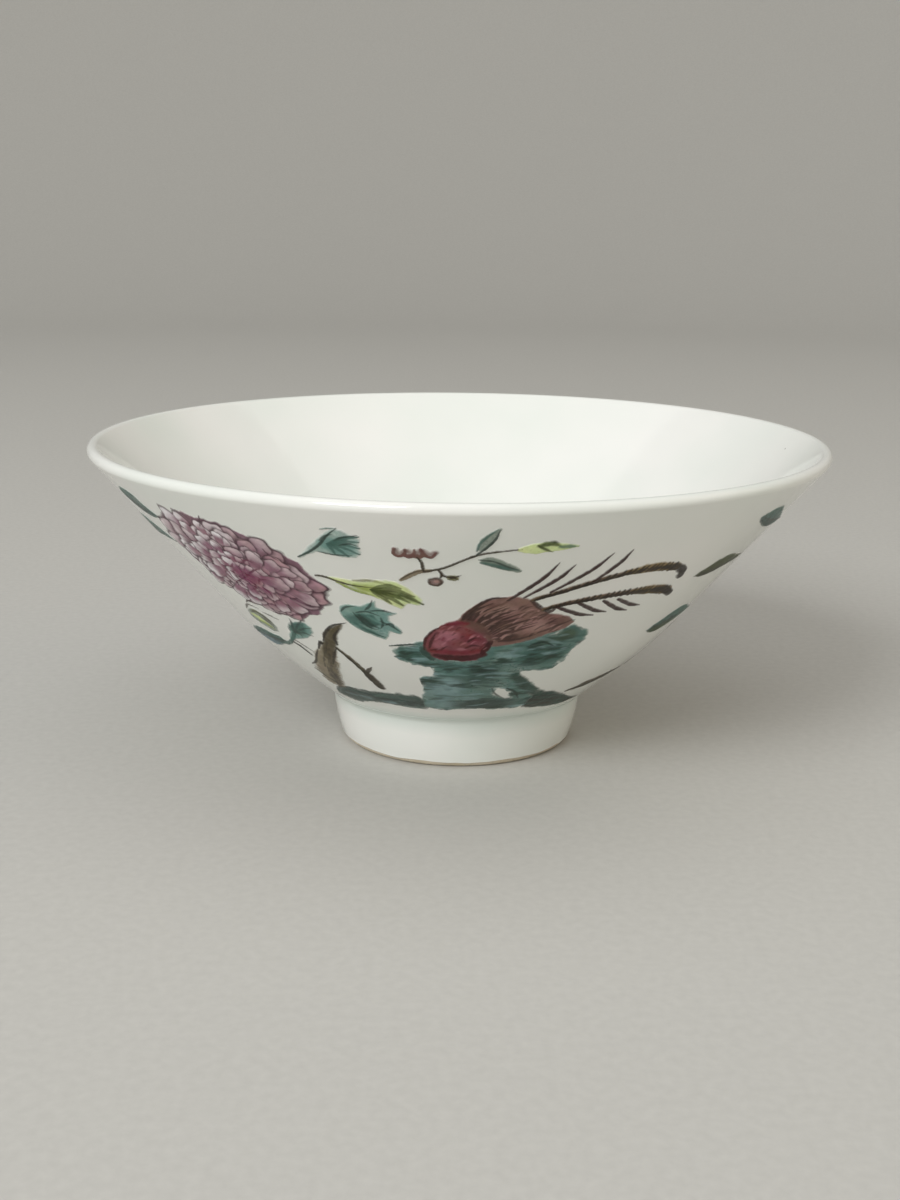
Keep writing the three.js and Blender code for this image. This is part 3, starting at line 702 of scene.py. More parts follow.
def paint_peony():
    """The big peony, with its creases and the drawn tips of its outer petals."""
    bloom = Sheet("peony_bloom", margin=1.3)
    petals = [
        ((-28.3, 30.9), -35, 3.9, 3.1, 0.35), ((-33, 33), -10, 4, 3.5, 0.25),
        ((-31.8, 28.2), -70, 3, 2.8, 0.5), ((-34, 37.4), 55, 3.7, 2.9, 0.5),
        ((-29.2, 36), 20, 2.9, 2.5, 0.3), ((-38.9, 41.2), 80, 2.4, 2, 0.95),
        ((-44, 39.3), 115, 2.7, 2.4, 0.95), ((-47.2, 37), 155, 3.2, 2.8, 0.9),
        ((-48.2, 33), 190, 4, 3.4, 1), ((-46, 29), 230, 3.4, 3.2, 1),
        ((-41, 29.8), 265, 2.9, 2.5, 0.8), ((-36.6, 30.2), -60, 2.7, 2.2, 0.3),
        ((-41.2, 38.9), 100, 2.2, 1.8, 0.9), ((-43.2, 35.4), 165, 1.9, 1.6, 1),
        ((-39.4, 37.3), 95, 1.9, 1.7, 0.85), ((-37.2, 35.2), 35, 2, 1.3, 0.35),
        ((-41.4, 33.6), 200, 1.8, 1.3, 0.3), ((-30.6, 33.6), 0, 3, 2.6, 0.45),
        ((-27.6, 33.4), 10, 2.8, 2.6, 0.2), ((-31, 36.8), 40, 3, 2.5, 0.35),
        ((-35.6, 28), -85, 3, 2.6, 0.55), ((-50.8, 36.4), 165, 3.2, 2.8, 0.85),
        ((-51, 31), 205, 3.4, 2.8, 0.85), ((-41.6, 42.6), 95, 2.6, 2.2, 0.8),
        ((-45.4, 41.8), 120, 2.6, 2.3, 0.9), ((-43.2, 28.2), 250, 2.8, 2.5, 0.9),
    ]
    rings = [(1, 23, 0.36), (0.86, 20, 0.33), (0.72, 17, 0.3), (0.57, 14, 0.28), (0.42, 11, 0.26),
             (0.27, 7, 0.22)]
    paint_bloom(bloom, (-40, 33.6), rings, petals, 11, 165)
    bloom.patch(ROSE, (-39.4, 33.4), (4, 1.9), 0.6, 14, lift=0.0)
    bloom.lines(ROSE_DEEP, 0.36, (
        ((-35, 35.6), (-36.6, 34.9), (-38.8, 33.7), (-41.2, 32.6), (-44.6, 31.3)),
        ((-40.4, 35.8), (-41.6, 35), (-43.2, 34.9)), ((-38.6, 32), (-39.6, 30.9), (-41.2, 30.4)),
        ((-34.6, 33.6), (-36.4, 33.2), (-37.4, 32.2)), ((-37.6, 36.4), (-36.2, 37.2), (-34.6, 37)),
        ((-38.9, 33.8), (-39.6, 35), (-38.6, 35.9)), ((-41.4, 32.6), (-42.2, 33.6), (-44, 34.1)),
        ((-37, 31.6), (-36.2, 30.4), (-36.6, 29.2)),
    ), strength=0.8, lift=0.0)
    bloom.lines(PETAL_LINE, 0.3, (
        ((-45.6, 45.3), (-44.2, 45), (-42.4, 43.8)), ((-39.6, 45), (-40.2, 44), (-41.2, 42.8)),
        ((-35.4, 40.6), (-34.6, 41.4), (-33, 41.5)), ((-30.4, 40.4), (-30, 39.2), (-28.6, 38.2)),
    ), strength=0.7)
    return [bloom]


def paint_back_bloom():
    """The smaller peony on the far side."""
    bloom = Sheet("branch_bloom", margin=1.2)
    heart = bloom.azimuth_mid, bloom.slant_mid
    rings = [(1, 14, 0.45), (0.78, 11, 0.42), (0.55, 9, 0.4), (0.34, 6, 0.36)]
    paint_bloom(bloom, heart, rings, [], 23, 120)
    bloom.patch(ROSE_DEEP, heart, (1.4, 1), 0.7, 24, lift=0.0)
    return [bloom]


# ---- The leaves ----


def paint_leaf(name, growth, wash, deep, line_colour, seed, veins=4, strength=0.82, shadow=-1.0,
               margin=0.9):
    """A leaf that grows in a direction given in degrees, with a shadowed side and dark veins."""
    sheet = Sheet(name, margin)
    rng = np.random.default_rng(seed)
    base, tip = sheet.far_corner(growth + 180), sheet.far_corner(growth)
    length = np.hypot(*(tip - base))
    heading = (tip - base) / length
    side = np.array([-heading[1], heading[0]])
    sheet.wash(wash, strength, seed, softness=0.5)
    along = ((sheet.x - base[0]) * heading[0] + (sheet.y - base[1]) * heading[1]) / length
    aside = (sheet.x - base[0]) * side[0] + (sheet.y - base[1]) * side[1]
    dark = smooth_step(-0.4, 1, shadow * aside + 0.8 * mottle(sheet.x, sheet.y, 1.4, seed + 2))
    dark = dark * smooth_step(0, 0.5, along) * smooth_step(-0.15, 0.15, sheet.inside)
    sheet.lay(deep, 0.75 * dark, 0.08)
    bend = side * rng.uniform(-0.35, 0.35)
    middle = 0.5 * (base + tip) + bend
    sheet.stroke([base - 0.3 * heading, middle, base + 0.93 * (tip - base)], 0.28, line_colour, 0.85,
                 start=1.0)
    for k in range(veins):
        share = 0.22 + 0.6 * k / max(veins - 1, 1)
        root = base + share * (tip - base) + bend * 4.0 * share * (1.0 - share)
        for turn in (1, -1):
            reach = length * rng.uniform(0.16, 0.28)
            end = root + reach * (0.8 * heading + 0.6 * turn * side)
            knee = root + 0.5 * reach * (0.9 * heading + 0.42 * turn * side)
            sheet.stroke([root, knee, end], 0.24, line_colour, 0.65, start=1.0, keep=0.0)
    return sheet


def paint_top_leaf():
    """The pale teal leaf over the peony, with its stalk."""
    leaf = Sheet("peony_leaf_top")
    leaf.wash(TEAL_PALE, 0.75, 210, softness=0.7, grow=0.35)
    leaf.brush(TEAL, 2.6, (-19.2, 42.6), (-16.8, 42.7), (-14.9, 42.3), strength=0.8, soft=0.5)
    leaf.brush(TEAL, 1.2, (-18.2, 41.4), (-16.4, 41.3), (-14.9, 41.4), strength=0.7, soft=0.4)
    for tip in ((-13.6, 44.6), (-13.8, 43.6), (-14, 42.4), (-14.2, 41.2), (-16, 40.6), (-18, 41)):
        knee = (0.5 * (tip[0] - 18) - 0.3, 0.5 * (tip[1] + 43.1) + 0.25)
        leaf.brush(TEAL_DEEP, 0.6, (-18.6, 42.9), knee, tip, strength=0.75, start=0.4, end=0.5)
    leaf.lines(LEAF_LINE, 0.34, (
        ((-17.4, 43.6), (-15.8, 44.4), (-13.6, 44.9)), ((-16.8, 42.8), (-15.2, 43.2), (-14, 42.8)),
        ((-20.6, 41.2), (-18.4, 40.8), (-15.4, 40.9)), ((-19.6, 43.4), (-18.4, 44.4), (-17.2, 44.8)),
    ), strength=0.7, start=0.4)
    leaf.brush(LEAF_LINE, 0.4, (-24.6, 39.6), (-22.2, 40.9), (-20, 42.5), (-18, 44.6), (-16.3, 46))
    leaf.brush(TEAL_DEEP, 0.26, (-18.8, 45.6), (-17.4, 45.9), (-16.3, 46), strength=0.6)
    return [leaf]


def paint_low_leaf():
    """The dark lobed leaf to the right of the peony."""
    leaf = Sheet("peony_leaf_low")
    leaf.wash(TEAL, 0.85, 220, softness=0.6, grow=0.25)
    leaf.patch(TEAL_PALE, (-20.4, 29.6), (1.3, 1.2), 0.45, 222)
    leaf.patch(TEAL_DEEP, (-20.2, 27.2), (1.6, 1.6), 0.55, 221)
    leaf.brush(TEAL_DEEP, 2.9, (-18.2, 27.9), (-16.6, 27.2), (-14.9, 26.8), strength=0.9, soft=0.4)
    leaf.brush(LEAF_LINE, 1, (-18.3, 28.3), (-17.4, 27), (-15.4, 25.8), strength=0.75, soft=0.3)
    leaf.brush(TEAL, 0.6, (-16.6, 28.3), (-15.4, 27.6), (-14.6, 26.8), strength=0.6, soft=0.2)
    leaf.lines(LEAF_LINE, 0.36, (
        ((-19.4, 28.9), (-18.6, 27.4), (-17.2, 25.8), (-15.6, 25.4)),
        ((-18.8, 28.9), (-16.6, 29.3), (-14.4, 28.6)), ((-14.2, 28.2), (-14.2, 26.8), (-15, 25.7)),
        ((-16.8, 29.6), (-15.6, 30.6), (-14.8, 31.8)), ((-15.8, 29.5), (-13.6, 29.8), (-11.4, 29.3)),
        ((-14.6, 27.4), (-12.8, 26.6), (-10.8, 25.1)), ((-18.8, 25.6), (-16.6, 24.4), (-14.4, 23.7)),
        ((-13.8, 26.6), (-12.6, 27), (-12, 26.2)), ((-21.8, 28.8), (-20.6, 29.8), (-18.4, 30.3)),
    ), strength=0.72, start=0.4)
    leaf.brush(TEAL_DEEP, 0.9, (-20, 26.4), (-18.2, 25.1), (-15.6, 24.3), strength=0.7, soft=0.25)
    return [leaf]


def paint_lime_leaf():
    """The long lime leaf between the two teal ones."""
    leaf = Sheet("peony_leaf_lime")
    leaf.wash(LIME, 0.85, 230, softness=0.7, grow=0.3)
    leaf.brush(LIME_DEEP, 1.5, (-16.6, 34.6), (-13.2, 34), (-9.4, 32.8), strength=0.7, soft=0.5)
    leaf.brush(LIME_DEEP, 0.6, (-19.8, 35.1), (-17, 33.7), (-13, 32.6), strength=0.7, soft=0.2)
    leaf.brush(OLIVE, 0.5, (-16.8, 35.8), (-13.8, 36), (-10.6, 35.4), strength=0.5, soft=0.2)
    for tip, knee in (
        ((-5.9, 31.6), (-9, 33.4)), ((-7.2, 33.2), (-10.2, 34.4)), ((-8.2, 31.9), (-10.6, 33.2)),
        ((-9.4, 31.2), (-11.2, 32.6)), ((-11.4, 31.4), (-12.8, 32.8)), ((-9.2, 34.8), (-11.4, 35.2)),
    ):
        leaf.brush(OLIVE_DARK, 0.8, (-14.4, 34.2), knee, tip, strength=0.72, start=0.2, end=0.4)
    leaf.brush(OLIVE_DARK, 0.9, (-9.4, 33.4), (-8, 32.6), (-6.8, 31.9), strength=0.6, soft=0.3)
    leaf.brush(BARK_DARK, 0.42, (-25, 35.9), (-22, 36.1), (-19.8, 35.4), (-17.2, 34.8), (-13.6, 34.6))
    return [leaf]


def paint_lower_leaves():
    """The leaf, the bract and the long leaf below the bloom, with their teal stalk."""
    under = Sheet("peony_leaf_under", margin=1.6)
    under.wash(TEAL, 0.88, 240, softness=0.6, grow=0.25)
    under.brush(TEAL_DEEP, 2.2, (-38.4, 22.1), (-36.2, 22.9), (-33.6, 24.3), soft=0.5)
    for tip in ((-31.8, 23.6), (-33, 21.6), (-33, 25.2), (-36.6, 20.6), (-36.6, 25)):
        under.brush(LEAF_LINE, 0.36, (-38.4, 21.6), (0.5 * (tip[0] - 37.2), 0.5 * (tip[1] + 22.6)), tip,
                    strength=0.6)
    under.brush(TEAL_DEEP, 0.6, (-38.6, 21.5), (-40.4, 20.2), (-42.2, 19.2), start=1.0, end=0.8)
    bract = Sheet("peony_bract", margin=2.2)
    bract.wash(SAGE, 0.75, 250, softness=0.6, grow=0.35)
    bract.patch(OLIVE, (-47.4, 25), (2.6, 1.6), 0.7, 251)
    bract.patch(BARK_OLIVE, (-45, 23.4), (1.6, 1.6), 0.6, 252)
    bract.brush(LIME, 1.1, (-50.4, 23.4), (-48.6, 22.8), (-46, 21.6), strength=0.8, soft=0.3)
    bract.brush(LIME_DEEP, 0.6, (-49.6, 22.2), (-47.6, 22), (-45.6, 20.9), strength=0.8, soft=0.2)
    bract.lines(BARK_DARK, 0.34, (
        ((-51.2, 24.4), (-48.4, 25.8), (-45, 25.4)), ((-50, 24), (-47.2, 24.4), (-44.6, 23)),
        ((-48.4, 26.2), (-46.6, 26.9), (-44.2, 26.4)), ((-44.8, 24.9), (-42.6, 24.5), (-40.6, 23.8)),
        ((-47.6, 23.4), (-45.8, 22.4), (-44.4, 21.4)),
    ), strength=0.6, start=0.4)
    long = paint_leaf("peony_leaf_long", 170, TEAL_DEEP, SLATE, LEAF_LINE, 260, 4, 0.9, 1, margin=2.0)
    long.brush(LEAF_LINE, 1, (-46.6, 18.2), (-49.6, 18), (-53, 18.4), strength=0.5, soft=0.5)
    long.brush(TEAL_DEEP, 0.7, (-42, 19.2), (-45, 18.1), (-49, 17.4), strength=0.75, start=1.0)
    return [under, bract, long]


# ---- The tree, the ground and the rock ----


def dashes(sheet, colours, count, reach, width, seed, strength=0.5, lean=0.0, middle=None,
           spread=(1, 1)):
    """Short half-dry brush dashes, over the whole footprint or scattered about a place."""
    rng = np.random.default_rng(seed)
    for k in range(count):
        if middle is None:
            spot = rng.uniform(sheet.low, sheet.high)
        else:
            spot = sheet.spots(middle) + rng.normal(0, 0.5, 2) * spread
        half, tilt, bow = rng.uniform(*reach), lean + rng.normal(0, 0.16), rng.uniform(-0.15, 0.15)
        points = [spot - (half, half * tilt), spot + (0, bow), spot + (half, half * tilt)]
        sheet.stroke(points, rng.uniform(*width), colours[k % len(colours)],
                     strength * rng.uniform(0.5, 1.2), start=0.3, soft=0.14, lift=0.07, keep=-0.1)


def paint_trunk():
    """The bent trunk with its bark, the twig to its right and the fine shoot at its left."""
    trunk = Sheet("tree_trunk", margin=1.2)
    trunk.wash(BARK, 0.5, 400, softness=0.7, grow=0.1, cloud=1.6, ragged=0.4)
    trunk.brush(BARK, 3.4, (-40.6, 9.4), (-37.4, 13.2), (-33, 17.4), (-30, 20.2), strength=0.8,
                soft=0.5, start=1.0)
    trunk.brush(BARK_OLIVE, 1.9, (-33.2, 16.8), (-29.4, 20.6), (-27.4, 23), (-23.6, 25.6), soft=0.3)
    trunk.brush(BARK_OLIVE, 1.3, (-36.4, 11.4), (-34, 14.6), (-31.2, 18), strength=0.5, soft=0.5)
    trunk.brush(BARK_DARK, 1.5, (-36.6, 12.4), (-38.2, 9.8), (-41, 7.6), strength=0.65, soft=0.5)
    trunk.lines(BARK_LINE, 0.42, (
        ((-42.6, 13.6), (-39.4, 14.8), (-36.8, 16.8), (-34.4, 18.6)),
        ((-34, 18.8), (-32.2, 20.4), (-31, 20.2)),
        ((-30.6, 21.2), (-28.6, 23.2), (-25.6, 25.2), (-22, 26.2)),
        ((-33, 15.2), (-30.6, 17.6), (-28, 20)), ((-43.8, 12.2), (-41.6, 10.2), (-38.6, 8.4)),
        ((-27.4, 20.6), (-26.8, 22.6), (-24.2, 24.8)),
    ), strength=0.78, start=0.5)
    trunk.brush(BARK_LINE, 0.9, (-32.2, 20.6), (-31.2, 20.4), strength=0.8)
    rng = np.random.default_rng(402)
    for _ in range(40):
        share, off = rng.uniform(0, 1), rng.uniform(-2, 2)
        place = np.array([np.interp(share, [0, 1], [-40.4, -28.6]) + off,
                          np.interp(share, [0, 1], [9, 21])])
        reach = np.array([0.9, 1]) * rng.uniform(0.4, 1.1)
        trunk.brush(BARK_DARK, rng.uniform(0.16, 0.34), place - reach, place + (0.2, 0), place + reach,
                    strength=0.55, keep=0.1)
    twig = Sheet("tree_twig")
    twig.brush(BARK_OLIVE, 0.8, (-28.2, 19.8), (-26.2, 17.6), (-24.4, 14.8), (-23.2, 11.8), (-22.3, 10.2),
               end=0.9)
    twig.brush(BARK_DARK, 1.3, (-24.2, 14.6), (-23.2, 12.4), (-22.3, 10.3), soft=0.2, end=0.9)
    twig.brush(BARK_LINE, 0.34, (-28.2, 19.9), (-26, 17), (-24.6, 14.2), (-23.6, 11), end=0.6)
    twig.brush(BARK_DARK, 0.7, (-23.8, 14.2), (-22.6, 15.2), (-21.4, 16), strength=0.8)
    shoot = Sheet("tree_shoot", margin=1.6)
    shoot.brush(BARK_LINE, 0.4, (-42, 19), (-40.4, 18.2), (-38.8, 16.4), start=0.9, end=0.6)
    shoot.brush(BARK_DARK, 0.3, (-41.6, 20), (-39, 18.8), (-36.6, 17.2), strength=0.6)
    return [trunk, twig, shoot]


def paint_ground():
    """The dark bank at the foot of the wall, and the root that runs along it."""
    left = Sheet("ground_left", margin=1.4)
    left.wash(GROUND, 0.93, 500, softness=1.0, grow=0.6, cloud=3.0, depth=0.3, lift=0.04, ragged=0.5)
    left.brush(GROUND, 3.6, (-15, 6.4), (-12.4, 6.4), (-10.4, 6.4), strength=0.75, soft=0.6, start=1.0,
               end=0.7)
    left.brush(GROUND_DARK, 1.3, (-43, 5.8), (-36, 7), (-29, 7.2), strength=0.7, soft=0.5)
    left.brush(LEAF_LINE, 0.5, (-46.6, 5.2), (-42, 7.3), (-36, 8.2), (-29, 8.3), strength=0.75,
               soft=0.2)
    for k, azimuth in enumerate((-39, -32, -24, -17)):
        left.patch(ROCK_PALE, (azimuth, 5.6 + 0.3 * (k % 2)), (2, 0.9), 0.5, 503 + k, lift=0.04)
    dashes(left, [GROUND_DARK, TEAL_DEEP], 80, (0.8, 2.4), (0.3, 0.8), 501, 0.45)
    for place in ((-29.5, 6.8), (-24, 6.2), (-18, 6), (-14, 6.2)):
        dashes(left, [GROUND_DARK, LEAF_LINE], 10, (0.5, 1.4), (0.3, 0.7), 505 - int(place[0]), 0.6, 0.1,
               place, (1.8, 0.9))
    right = Sheet("ground_right", margin=1.4)
    right.wash(GROUND_DARK, 0.95, 520, softness=0.9, grow=0.5, cloud=3.0, depth=0.25, lift=0.04,
               ragged=0.45)
    right.brush(GROUND_DARK, 4, (24, 6.6), (26, 6.6), (28, 6.6), strength=0.8, soft=0.6,
                start=0.7, end=1.0)
    right.patch(GROUND_DARK, (28, 4.2), (8, 1.8), 0.6, 522, lift=0.04)
    dashes(right, [LEAF_LINE, BARK_DARK, TEAL_DEEP], 80, (0.8, 2.6), (0.3, 0.8), 521, 0.5, -0.12)
    root = Sheet("ground_root", margin=0.9)
    root.wash(BARK_OLIVE, 0.85, 530, softness=0.5, grow=0.3)
    dashes(root, [BARK_LINE, BARK_DARK], 36, (0.8, 2.4), (0.2, 0.5), 531, 0.8, 0.12)
    start, end = root.far_corner(190), root.far_corner(10)
    root.stroke([start, 0.5 * (start + end) + (0, 0.25), end], 0.8, BARK_LINE, 0.75, start=0.5,
                soft=0.2)
    return [left, right, root]


def paint_rock():
    """The pierced rock: a teal wash, level dashes, and darker hollows by its lobes and hole."""
    rock = Sheet("garden_rock", margin=1.4)
    rock.wash(ROCK, 0.9, 60, softness=0.9, grow=0.45, cloud=3.2, depth=0.3, ragged=0.6)
    # The rock is painted up to the bird, past its own footprint.
    rock.brush(ROCK, 1.9, (-7.6, 22.6), (-6.9, 20.4), (-4.2, 18.6), (0, 18.2), (4.2, 18.6), (7.2, 20.6),
               (8.6, 22.8), strength=0.8, soft=0.4, start=0.8, end=0.9)
    rock.brush(ROCK, 1.9, (8.6, 22.6), (13, 23), (17, 24.3), (21, 26.9), (23, 28.4),
               strength=0.8, soft=0.4, start=0.9)
    rock.brush(ROCK_DARK, 1.9, (14.6, 15.2), (18.6, 12.2), (22.6, 10), (26.4, 8.6), soft=0.4, start=0.6,
               end=0.9)
    rock.patches(
        (ROCK_PALE, (-3, 12), (4, 4.8), 0.8, 61), (ROCK_PALE, (-5, 6.6), (2.6, 2.2), 0.5, 62),
        (ROCK_PALE, (10.6, 20.4), (2, 1.2), 0.5, 161), (ROCK_DARK, (6, 15.4), (3.6, 4), 0.82, 63),
        (ROCK_LINE, (5.2, 16.8), (2, 1.2), 0.5, 163), (ROCK_DARK, (-5.4, 13.4), (1.8, 1), 0.7, 169),
        (OLIVE_DARK, (20.4, 23.2), (3, 1.2), 0.45, 171),
        (ROCK_LINE, (19.6, 19.4), (3, 1.4), 0.55, 165),
        (ROCK_PALE, (13.4, 21.4), (1.6, 0.8), 0.6, 167),
        (GROUND_DARK, (10, 6.4), (6.4, 3), 0.8, 64),
        (TEAL_DEEP, (19, 20), (4.8, 3.2), 0.88, 65),
        (OLIVE_DARK, (22.6, 24.2), (2.4, 2.2), 0.6, 66),
        (TEAL_DEEP, (-10, 20.2), (2.8, 1.6), 0.75, 67),
    )
    dashes(rock, [ROCK_DARK, TEAL_DEEP, ROCK_LINE], 210, (0.5, 1.8), (0.22, 0.7), 68, 0.6)
    dashes(rock, [ROCK_PALE], 90, (0.5, 1.7), (0.25, 0.7), 69, 0.65)
    for place, count in (
        ((-10.6, 20.6), 12), ((-8, 13.6), 14), ((-6, 17.4), 8), ((1.4, 12.6), 12),
        ((10.8, 18.8), 14), ((17.4, 22.2), 12), ((20.6, 21.4), 12), ((17.8, 18.8), 16),
        ((21.6, 19), 14), ((6, 7), 12), ((14, 5.4), 12), ((19, 9.4), 10), ((-2, 17), 10),
        ((5.4, 17.4), 12),
    ):
        dashes(rock, [ROCK_LINE, ROCK_DARK], count, (0.4, 1.2), (0.28, 0.6), 70 + int(place[0]), 0.7,
               0.05, place, (1.6, 0.9))
    rock.brush(ROCK_LINE, 0.5, (14.2, 11.4), (17, 10.2), (19.8, 7.8), strength=0.9)
    rock.brush(ROCK_LINE, 0.5, (15.6, 22.4), (18.4, 22.8), (21.4, 21.6), strength=0.8)
    rock.brush(ROCK_LINE, 0.36, (-14.4, 21.9), (-11, 22.4), (-7.6, 22.9))
    rock.brush(ROCK_LINE, 0.3, (9.8, 11.6), (11.4, 9.8), (14.6, 8.2), strength=0.6)
    return [rock]


# ---- The pheasant ----


def barbs(sheet, rng, colours, count, spread, steps, widths, bow, **manner):
    """Small slanting feather strokes, scattered over a spread of azimuth and slant."""
    for k in range(count):
        place = np.array([rng.uniform(*span) for span in spread])
        step = np.array([rng.uniform(*span) for span in steps])
        sheet.brush(colours[k % len(colours)], rng.uniform(*widths), place,
                    place + 0.5 * step + (bow, 0.15), place + step, **manner)


def paint_breast():
    """The crimson breast: a dome with a dark foot, blended into the back at its right."""
    breast = Sheet("pheasant_breast", margin=1.6)
    breast.wash(CRIMSON, 0.96, 80, softness=0.3, grow=0.15, cloud=1.8, depth=0.1, lift=0.1, ragged=0.5)
    breast.patches(
        (CRIMSON_PINK, (-1.8, 25.2), (2, 1.6), 0.6, 81),
        (CRIMSON_PINK, (-3.6, 23), (1.2, 1.2), 0.4, 181),
        (CRIMSON_PINK, (1, 21.9), (0.9, 0.6), 0.6, 82),
        (CRIMSON_DEEP, (3.4, 25), (2.2, 2.2), 0.75, 83),
    )
    breast.brush(ROCK_DARK, 1.1, (-7.3, 21.9), (-6.7, 20.7), (-5.4, 19.5), soft=0.3, start=0.7, end=0.7)
    breast.brush(ROCK, 1, (5.4, 19.2), (7, 20.4), (7.5, 21.8), soft=0.3, start=0.7, end=0.7)
    breast.brush(CRIMSON_DEEP, 1, (-5.6, 21.6), (-2, 21.2), (2, 21.2), (6, 21.9), soft=0.4,
                 start=0.7, end=0.8)
    breast.brush(CRIMSON_DARK, 1.3, (-4.6, 20.4), (-1, 19.9), (2.6, 19.9), (5.8, 20.6), strength=0.97,
                 soft=0.2, end=0.8)
    breast.brush(CRIMSON_DARK, 0.9, (5.4, 21), (6.2, 22.2), (6.9, 23.6), strength=0.95, end=0.8)
    breast.lines(CRIMSON_DARK, 0.42, (
        ((-6.9, 21.6), (-6.4, 23.8), (-4.8, 25.8), (-2.4, 27.2)),
        ((-2.8, 27.1), (-1, 27.5), (0.8, 27.9)), ((-5.8, 22), (-5, 24), (-4.2, 25.4)),
        ((-5.6, 21.6), (-3.4, 21.9), (-2, 22.6)), ((2.2, 23.6), (3.6, 24.6), (4.8, 24.2)),
        ((1.8, 22.2), (3.2, 22.8), (4.8, 22.6)),
    ), strength=0.75, start=0.5)
    breast.brush(CRIMSON, 2, (-1.4, 26.8), (0.8, 27), (3, 26.4), (4.6, 25.2), soft=0.3, start=0.8,
                 end=0.8)
    breast.brush(PLUMAGE_BROWN, 1.5, (0.8, 28), (3, 27.4), (5.2, 25.9), (6.8, 23.8), soft=0.5)
    breast.brush(CRIMSON_DEEP, 0.9, (-1.8, 27.4), (0, 27.8), (1.8, 27.7), soft=0.3, start=0.7, end=0.7)
    barbs(breast, np.random.default_rng(86), (CRIMSON_DEEP, CRIMSON_DARK, CRIMSON_PINK), 70,
          ((-4.6, 5.6), (21.2, 27)), ((0.5, 1.3), (0.2, 0.8)), (0.2, 0.36), 0, strength=0.45,
          keep=0.1)
    return [breast]


def paint_body():
    """The back: dark feather lines that fan up from the neck, over a brown and rosy wash."""
    body = Sheet("pheasant_body", margin=1.2)
    body.wash(PLUMAGE, 0.95, 91, softness=0.35, grow=0.35, cloud=1.8, depth=0.1, lift=0.08)
    body.brush(PLUMAGE, 1.6, (0.9, 28.2), (3.8, 27.4), (6.2, 25.6), (7.4, 23.4), soft=0.3, start=0.8,
               end=0.9)
    body.brush(PLUMAGE, 1.6, (7.4, 23.2), (12, 23.9), (17, 25.2), (21.2, 27.6), soft=0.3, start=0.9)
    body.patches(
        (PLUMAGE_ROSE, (14.6, 26.8), (2.4, 1.8), 0.7, 92),
        (PLUMAGE_ROSE, (8.6, 30.4), (2.2, 1.4), 0.4, 93),
        (PLUMAGE_BROWN, (19.4, 27.2), (2, 1.6), 0.7, 94),
        (PLUMAGE_DARK, (10, 24.3), (3.4, 1.2), 0.85, 95),
        (CRIMSON_DEEP, (2.6, 28), (1.6, 1.4), 0.45, 96),
    )
    rng = np.random.default_rng(90)
    for k in range(17):
        t = k / 16.0
        root = np.array([0.8 + 7.6 * t + rng.uniform(-0.3, 0.3), 27.8 - 3.2 * t + rng.uniform(-0.2, 0.2)])
        rise = np.array([4.6 + 3.6 * t, 5.0 - 1.9 * t]) * rng.uniform(0.75, 1.05)
        belly = root + 0.5 * rise + np.array([-0.9, 0.5]) * (1.0 - 0.6 * t)
        body.brush(PLUMAGE_DARK, rng.uniform(0.34, 0.56), root, belly, root + rise, strength=0.82,
                   start=0.5, keep=-0.1)
    barbs(body, rng, (PLUMAGE_DARK, PLUMAGE_BROWN, PLUMAGE_ROSE), 90,
          ((4, 20.5), (23.4, 31.6)), ((0.8, 2.2), (0.3, 1.3)), (0.22, 0.4), -0.1, strength=0.6,
          keep=0.0)
    body.brush(PLUMAGE_DARK, 0.6, (0.4, 27.6), (1.6, 29.4), (3.4, 31.5), (5.6, 33), (8.2, 33.2))
    body.brush(PLUMAGE_DARK, 0.7, (12.6, 32.4), (14.8, 30.6), (16.8, 29.8), (17.6, 30.6), strength=0.75,
               end=0.6)
    body.lines(PLUMAGE_DARK, 0.45, (
        ((8.4, 23.6), (12.4, 24), (16, 25)), ((1.6, 27.6), (4.6, 26.6), (6.6, 24.8)),
        ((16, 25.2), (19.2, 26.4), (22, 27.6)),
    ), strength=0.7)
    return [body]


